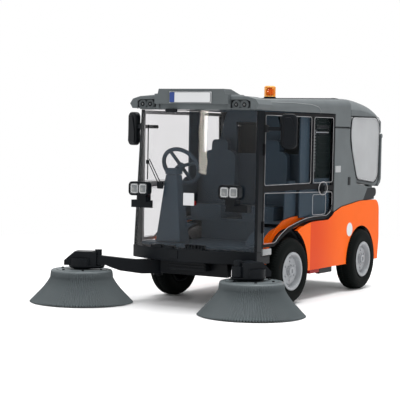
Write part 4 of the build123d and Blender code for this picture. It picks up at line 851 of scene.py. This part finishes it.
# From each corner of the lip to the groove's corner outside it
GROOVE_STEPS = [(-1.2, 0.9), (-1.4, 0), (-1.2, -0.5), (-0.8, -1.2), (0.6, -1.3), (1.3, -0.7), (1.3, 0.5),
                (0.6, 1.1)]
ROOF_CONTOUR = [(-94, 145.2), (-60, 145.6), (-30, 145.2), (-19, 143.6), (-14.6, 140.8), (-14.0, 138.6)]
FAIRING_LINE = [(50.3, 12.6, 128.6), (50.3, 40.4, 128.4)]
ROUNDEL_MIDDLE = (51.0, 41.4, 48.8)
for label, side in SIDES:
    hopper_body = body_of_node["hopper_sides"]
    lip = [(side * PANEL_LIP_X, y, z) for y, z in PANEL_OUTLINE]
    placed(bead("panel_lip_" + label, lip, 0.9, 4.0, True), hopper_body, light_panel, "light_panel")
    groove = [(side * PANEL_GROOVE_X, y + dy, z + dz)
              for (y, z), (dy, dz) in zip(PANEL_OUTLINE, GROOVE_STEPS)]
    placed(bead("panel_gap_" + label, groove, 0.8, 4.6, True), hopper_body, black_plastic, "black_plastic")
    # A raised line along the roof's side; its grey, lighter than the roof, is a painted highlight
    contour = [on_side(parts["cab_roof"], y, z, side, 0.05) for y, z in ROOF_CONTOUR]
    placed(bead("roof_contour_" + label, contour, 0.7), VEHICLE, roof_highlight, "grey_roof")
    line = [(side * x, y, z) for x, y, z in FAIRING_LINE]
    placed(bead("fairing_gap_" + label, line, 0.9), VEHICLE, black_plastic, "black_plastic")
    catch = side_block("fairing_catch_" + label, side, (50.2, 51.0), (13.0, 94.2), (22.6, 99.2), 0.35)
    placed(catch, VEHICLE, light_panel, "light_panel")
    vent = side_block("fairing_slot_" + label, side, (50.2, 50.8), (37.4, 83.8), (41.8, 90.2), 0.3)
    placed(vent, VEHICLE, black_plastic, "black_plastic")
    disc = turned("blank_roundel_" + label, [(0.4, 0.18), (5.2, 0.18), (5.4, 0.05), (5.4, -0.3),
                                             (0.4, -0.3)], 40)
    x, y, z = ROUNDEL_MIDDLE
    disc.matrix_world = move(side * x, y, z) @ turn(90 * side, "Y")
    placed(disc, VEHICLE, plate_plastic, "plate_white")

# ------------------------------------------------------------------ door details
DOOR_EDGE_UPPER = [(-102.4, 87.0), (-102.4, 136.0), (-29.2, 136.0), (-29.2, 87.0)]
DOOR_EDGE_REAR = [(-24.4, 87.0), (-24.4, 136.0), (8.9, 136.0), (8.9, 87.0)]
DOOR_EDGE_LOWER = [(-102.4, 81.6), (-102.4, 46.0), (-84.9, 46.0), (-78.0, 50.4), (-66.0, 55.6), (-53.0, 58.2),
                   (-36.0, 61.0), (-21.7, 61.9), (0.6, 61.8), (6.4, 64.4), (8.9, 68.4), (8.9, 79.4)]
HATCH_LINE = [(-25.9, 63.0), (-3.4, 63.0), (-3.4, 78.2), (-25.9, 78.2)]
DOOR_EDGE_X, HATCH_X, RING_X, KNOB_X = 50.25, 50.7, 50.9, 50.6
KNOB_Y, KNOB_Z = -8.6, 82.6
# Thickness of the clear edges, and the ring's half length, half height and points
EDGE, RING_LONG, RING_HIGH, RING_POINTS = 0.38, 7.6, 5.0, 24
for label, side in SIDES:
    door = body_of_node["door_glass_" + label]
    # The clear moulding's edges, the hatch line and the handle ring are light grey beads: painted highlights
    # on the clear plastic
    edges = [bead("pane_edges_" + label, [(side * DOOR_EDGE_X, y, z) for y, z in points], EDGE, 2.0, True)
             for points in (DOOR_EDGE_UPPER, DOOR_EDGE_REAR, DOOR_EDGE_LOWER)]
    edges.append(bead("hatch", [(side * HATCH_X, y, z) for y, z in HATCH_LINE], EDGE, 2.4, True))
    ring_points = [(side * RING_X, KNOB_Y + RING_LONG * math.cos(a), KNOB_Z + RING_HIGH * math.sin(a))
                   for a in (math.tau * k / RING_POINTS for k in range(RING_POINTS))]
    edges.append(bead("handle_ring", ring_points, 0.55, 0, True))
    placed(joined(edges), door, pane_highlight, "clear_plastic")
    knob = turned("door_knob_" + label, [(0.4, 2.6), (2.0, 2.6), (2.5, 2.2), (2.7, 1.0), (3.4, 0.5),
                                         (3.6, -0.2), (0.4, -0.2)], 28)
    smooth(knob, 30)
    knob.matrix_world = move(side * KNOB_X, KNOB_Y, KNOB_Z) @ turn(90 * side, "Y")
    placed(knob, door, black_plastic, "black_plastic")
    foot = side_block("mirror_foot_" + label, side, (50.3, 52.0), (-103.6, 125.3), (-82.0, 127.9), 0.6)
    placed(foot, body_of_node["mirror_" + label], black_plastic, "black_plastic")

# Teeth and bars on the vented wall behind the left door's rear pane
TEETH, TOOTH_STEP = 14, 2.3
tooth = block("vent_tooth", (46.9, -19.6, 95.4), (47.9, -16.8, 96.5), 0.2)
paint(tooth, roof_plastic)
teeth = around(tooth, "vent_teeth", [move(0, 0, TOOTH_STEP * k) for k in range(TEETH)])
mount(teeth, VEHICLE, "light_panel")
bar = block("vent_bar", (46.9, -16.0, 127.6), (47.8, 6.4, 130.0), 0.3)
placed(bar, VEHICLE, black_plastic, "black_plastic")
sill = block("vent_sill", (46.9, -16.0, 124.4), (47.5, 6.4, 125.2), 0.2)
placed(sill, VEHICLE, light_panel, "light_panel")

# ------------------------------------------------------------------ bumper, underside and front fittings
for name, low_corner, high_corner in (
    ("bumper_step_right", (-29.0, -124.4, 40.6), (-20.0, -119.4, 43.0)),
    ("bumper_step_mid", (-18.4, -125.4, 40.6), (-10.0, -120.2, 42.6)),
    ("bumper_step_left", (0.0, -126.0, 40.6), (14.6, -120.4, 41.9)),
    ("bumper_bracket", (-12.4, -127.0, 33.8), (-4.9, -124.4, 40.0)),
):
    placed(block(name, low_corner, high_corner, 0.5), VEHICLE, black_plastic, "black_plastic")
carrier_block = block("ribbed_block", (-14.8, -121.6, 25.6), (15.0, -112.0, 32.4), 0.5)
ribs = [block("rib", (-14.4, -122.8, z), (14.6, -121.2, z + 1.1), 0.3) for z in (26.4, 28.6, 30.8)]
placed(joined([carrier_block] + ribs), VEHICLE, black_plastic, "black_plastic")
comb_teeth = [block("tooth", (x, -126.2, 41.4), (x + 1.2, -120.6, 44.4), 0.2)
              for x in (0.4, 3.0, 5.6, 8.2, 10.8, 13.4)]
comb = placed(joined(comb_teeth), VEHICLE, black_plastic, "black_plastic")
comb.name = "bumper_comb"
skid = block("skid_block", (-27.5, -113.5, 21.6), (28.0, -107.0, 33.6), 0.6)
placed(skid, VEHICLE, black_plastic, "black_plastic")

# Ribbed posts on the left brush head, whose arm ends beside them
POST_RADIUS, POST_RIB, POST_STEP = 2.3, 0.45, 0.75
post_ribs = [(POST_RADIUS - POST_RIB * (k % 2), 28.0 + POST_STEP * k) for k in range(10)]
post = turned("head_post", [(0.2, 27.0), (POST_RADIUS, 27.0)] + post_ribs + [(1.7, 35.6), (0.2, 35.6)], 24)
smooth(post, 30)
for name, x, y, z in (("head_post_tall", 53.4, -128.6, 0.0), ("head_post_low", 62.0, -128.0, -2.2)):
    placed(copied(post, name, move(x, y, z)), body_of_node["brush_head_left"], rim_plastic, "black_plastic")
bpy.data.objects.remove(post)

# A blank label inside the windscreen's curve, and a small red switch behind it
sticker = sheet("blank_label", [(-1.6, 71.9), (7.0, 71.9), (7.0, 80.6), (-1.6, 80.6)], "Y",
                -125.3, -125.9, 0.2, 2)
placed(sticker, VEHICLE, plate_plastic, "plate_white")
switch = block("red_switch", (-6.2, -107.4, 71.0), (-2.6, -105.6, 74.2), 0.3)
placed(switch, VEHICLE, flap_red, "black_plastic")

# Panels behind the doors' small lower panes, and beside the seats
QUARTER_PANEL = [(-26.0, 58.5), (10.4, 58.5), (10.4, 90.0), (-26.0, 90.0)]
CHAIR_SIDE = [(-60.0, 56.0), (-42.0, 56.0), (-42.0, 89.0), (-54.0, 89.0), (-60.0, 80.0)]
for label, side in SIDES:
    panel = sheet("quarter_panel_" + label, QUARTER_PANEL, "X", side * 46.4, side * 47.2, 1.0)
    soften(panel, 0.25 * MM)
    placed(panel, VEHICLE, cab_plastic, "interior")
    chair_side = sheet("seat_side_" + label, CHAIR_SIDE, "X", side * 43.5, side * 44.6, 2.0)
    soften(chair_side, 0.3 * MM)
    placed(chair_side, VEHICLE, cab_plastic, "interior")

# Orange shoulders over the front arches, seen through the doors' lower panes
SHOULDER = [(-91.5, 42.6), (-90.3, 44.4), (-81.4, 51.8), (-75.4, 55.7), (-64.6, 60.6), (-51.8, 62.4),
            (-23.6, 63.7), (6.1, 64.2), (9.0, 62.4), (6.1, 60.6), (0.0, 58.0), (-21.7, 57.6),
            (-53.6, 53.0), (-72.0, 49.0), (-85.6, 41.6)]
for label, side in SIDES:
    shoulder = sheet("arch_shoulder_" + label, SHOULDER, "X", side * 45.2, side * 46.3)
    soften(shoulder, 0.3 * MM)
    placed(shoulder, VEHICLE, orange_shell, "orange_body")

# A red flap and a pipe below each sill
SILL_X = (44.5, 48.0)
for label, side in SIDES:
    flap = side_block("sill_flap_" + label, side, SILL_X, (-22.0, 18.6), (-6.0, 22.2), 0.4)
    placed(flap, VEHICLE, flap_red, "black_plastic")
    pipe = side_block("sill_pipe_" + label, side, SILL_X, (-6.0, 17.2), (17.0, 22.2), 0.7)
    placed(pipe, VEHICLE, black_plastic, "black_plastic")

# Reflectors behind the headlamps' lenses: a bright frame round a duller bowl
reflector = sheet("reflector", [(-2.95, -3.2), (2.95, -3.2), (2.95, 3.2), (-2.95, 3.2)], "Y", 0.0, -0.35, 1.3)
inset_front(reflector, lambda n: n.y < -0.9, 0.7, (0, 0.25, 0))
paint(reflector, lamp_silver)
repaint(reflector, lamp_grey, lambda p, n: n.y < -0.5 and abs(p.x) < 1.9 and abs(p.z) < 2.1)
smooth(reflector, 30)
# Each headlamp has two
HEADLAMP_X, HALF_STEP = 36.8, 3.6
reflector_places = [move(side * x, -128.9, 82.4) for side in (1, -1)
                    for x in (HEADLAMP_X + HALF_STEP, HEADLAMP_X - HALF_STEP)]
reflectors = around(reflector, "headlamp_reflectors", reflector_places)
mount(reflectors, body_of_node["headlamp_lenses"], "lamp_clear")

# Posts of the cab's rear corners, between the doors' panes and the wall behind the seats
for label, side in SIDES:
    post = side_block("rear_post_" + label, side, (46.6, 47.8), (-42.5, 61.5), (-27.0, 139.0), 0.3)
    placed(post, VEHICLE, cab_plastic, "interior")

# ------------------------------------------------------------------ windscreen wiper
# The windscreen is part of an upright cylinder
SCREEN_MIDDLE_Y, SCREEN_RADIUS = -49.3, 76.3


def before_screen(x, z, gap=1.3):
    """A point a little in front of the windscreen, in millimetres."""
    return (x, SCREEN_MIDDLE_Y - math.sqrt((SCREEN_RADIUS + gap) ** 2 - x * x), z)


blade = bead("wiper_blade_and_links", [before_screen(-36.9, 128.0), before_screen(-36.8, 108),
                                       before_screen(-36.9, 88.6)], 0.9)
links = [bead("link", [before_screen(-36.2, 101.5), before_screen(-23.4, 85.0)], 0.7),
         bead("link", [before_screen(-35.0, 103.5), before_screen(-22.0, 87.0)], 0.7)]
clip_x, clip_y, clip_z = zip(before_screen(-38.4, 99.8, 2.0), before_screen(-35.6, 102.6, 0.7))
clip = block("clip", (min(clip_x), min(clip_y), min(clip_z)), (max(clip_x), max(clip_y), max(clip_z)), 0.3)
foot = block("foot", (-25.0, -123.9, 82.6), (-20.6, -121.4, 87.6), 0.6)
wiper = joined([blade] + links + [clip, foot])
paint(wiper, black_plastic)
mount(wiper, VEHICLE, "black_plastic", "wiper")

# ------------------------------------------------------------------ floor, lights and camera
bpy.ops.object.select_all(action="DESELECT")
bpy.ops.mesh.primitive_plane_add(size=30.0, location=(0, 0, 0))
floor = bpy.context.object
floor.name = "studio_floor"
floor_paint, tree, shader, place = new_material("studio_floor_paint")
shader.inputs["Base Color"].default_value = (0.86, 0.86, 0.865, 1)
shader.inputs["Roughness"].default_value = 0.5
paint(floor, floor_paint)
floor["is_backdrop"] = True


def backdrop_share(tree):
    """1 for rays that see the backdrop straight, mirrored or through a pane."""
    ray = tree.nodes.new("ShaderNodeLightPath")
    share = ray.outputs["Is Camera Ray"]
    for kind in ("Is Transmission Ray", "Is Glossy Ray"):
        share = combined(tree, "MAXIMUM", share, ray.outputs[kind])
    return share


# The floor keeps the shadow near the object and goes over into the white backdrop between these distances
FADE_START, FADE_END = 0.16, 0.60
reach = tree.nodes.new("ShaderNodeVectorMath")
reach.operation = "LENGTH"
tree.links.new(place, reach.inputs[0])
fade = tree.nodes.new("ShaderNodeMapRange")
fade.interpolation_type = "SMOOTHSTEP"
fade.inputs["From Min"].default_value = FADE_START
fade.inputs["From Max"].default_value = FADE_END
tree.links.new(reach.outputs["Value"], fade.inputs["Value"])
white = tree.nodes.new("ShaderNodeEmission")
amount = combined(tree, "MULTIPLY", fade.outputs["Result"], backdrop_share(tree))
mix = tree.nodes.new("ShaderNodeMixShader")
tree.links.new(amount, mix.inputs["Fac"])
tree.links.new(shader.outputs["BSDF"], mix.inputs[1])
tree.links.new(white.outputs["Emission"], mix.inputs[2])
tree.links.new(mix.outputs["Shader"], tree.nodes["Material Output"].inputs["Surface"])

# The sky's strength as light on the object, and as the backdrop that is seen
SKY_LIGHT, SKY_SEEN = 0.62, 1.0
world = bpy.data.worlds.new("studio")
bpy.context.scene.world = world
world.use_nodes = True
sky = world.node_tree.nodes["Background"]
level = world.node_tree.nodes.new("ShaderNodeMapRange")
level.inputs["To Min"].default_value = SKY_LIGHT
level.inputs["To Max"].default_value = SKY_SEEN
world.node_tree.links.new(backdrop_share(world.node_tree), level.inputs["Value"])
world.node_tree.links.new(level.outputs["Result"], sky.inputs["Strength"])
sky.inputs["Color"].default_value = (1, 1, 1, 1)

# Name, place, the point it shines at and size in metres, and power in watts
LAMPS = [
    ("key_softbox", (-0.7, -1.3, 1.6), (0, -0.03, 0.07), 0.9, 8.5),
    ("side_softbox", (1.5, -0.8, 0.9), (0, 0.0, 0.07), 0.9, 6.5),
    ("top_softbox", (0.1, 0.3, 1.8), (0, 0, 0.05), 1.0, 44.0),
    ("strip_softbox", (-0.295, -1.07, 0.21), (0.008, -0.12, 0.120), 0.11, 1.2),
]
for name, spot, aim, size, power in LAMPS:
    lamp = bpy.data.lights.new(name, "AREA")
    lamp.energy = power
    lamp.size = size
    holder = bpy.data.objects.new(name, lamp)
    holder.location = spot
    holder.rotation_euler = (Vector(aim) - Vector(spot)).to_track_quat("-Z", "Y").to_euler()
    bpy.context.scene.collection.objects.link(holder)
    # Lamps shine through the panes as through air, so no ray meets them again behind a pane
    holder.visible_transmission = False
    if name == "strip_softbox":
        # This one makes the upright reflection in the windscreen, and lights nothing
        lamp.color = (1.0, 0.93, 0.80)
        holder.visible_diffuse = False
        holder.visible_camera = False

# The camera's place in metres, its focal length in millimetres and its angles
CAMERA_PLACE = (0.4969150521, -0.9529981588, 0.1244650712)
FOCAL_LENGTH = 124.052
AZIMUTH, PITCH, ROLL = (math.radians(angle) for angle in (30.37786, 2.886263, 1.069298))
forward = Vector((-math.sin(AZIMUTH) * math.cos(PITCH), math.cos(AZIMUTH) * math.cos(PITCH),
                  -math.sin(PITCH)))
level_right = Vector((math.cos(AZIMUTH), math.sin(AZIMUTH), 0))
level_up = level_right.cross(forward)
right = math.cos(ROLL) * level_right + math.sin(ROLL) * level_up
up = math.cos(ROLL) * level_up - math.sin(ROLL) * level_right
lens = bpy.data.cameras.new("camera")
lens.lens = FOCAL_LENGTH
lens.sensor_width = 36.0
lens.clip_start = 0.05
camera = bpy.data.objects.new("camera", lens)
turned_view = Matrix((right, up, -forward)).transposed().to_4x4()
camera.matrix_world = Matrix.Translation(CAMERA_PLACE) @ turned_view
bpy.context.scene.collection.objects.link(camera)
bpy.context.scene.camera = camera
bpy.context.scene.view_settings.view_transform = "Standard"

low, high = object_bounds()
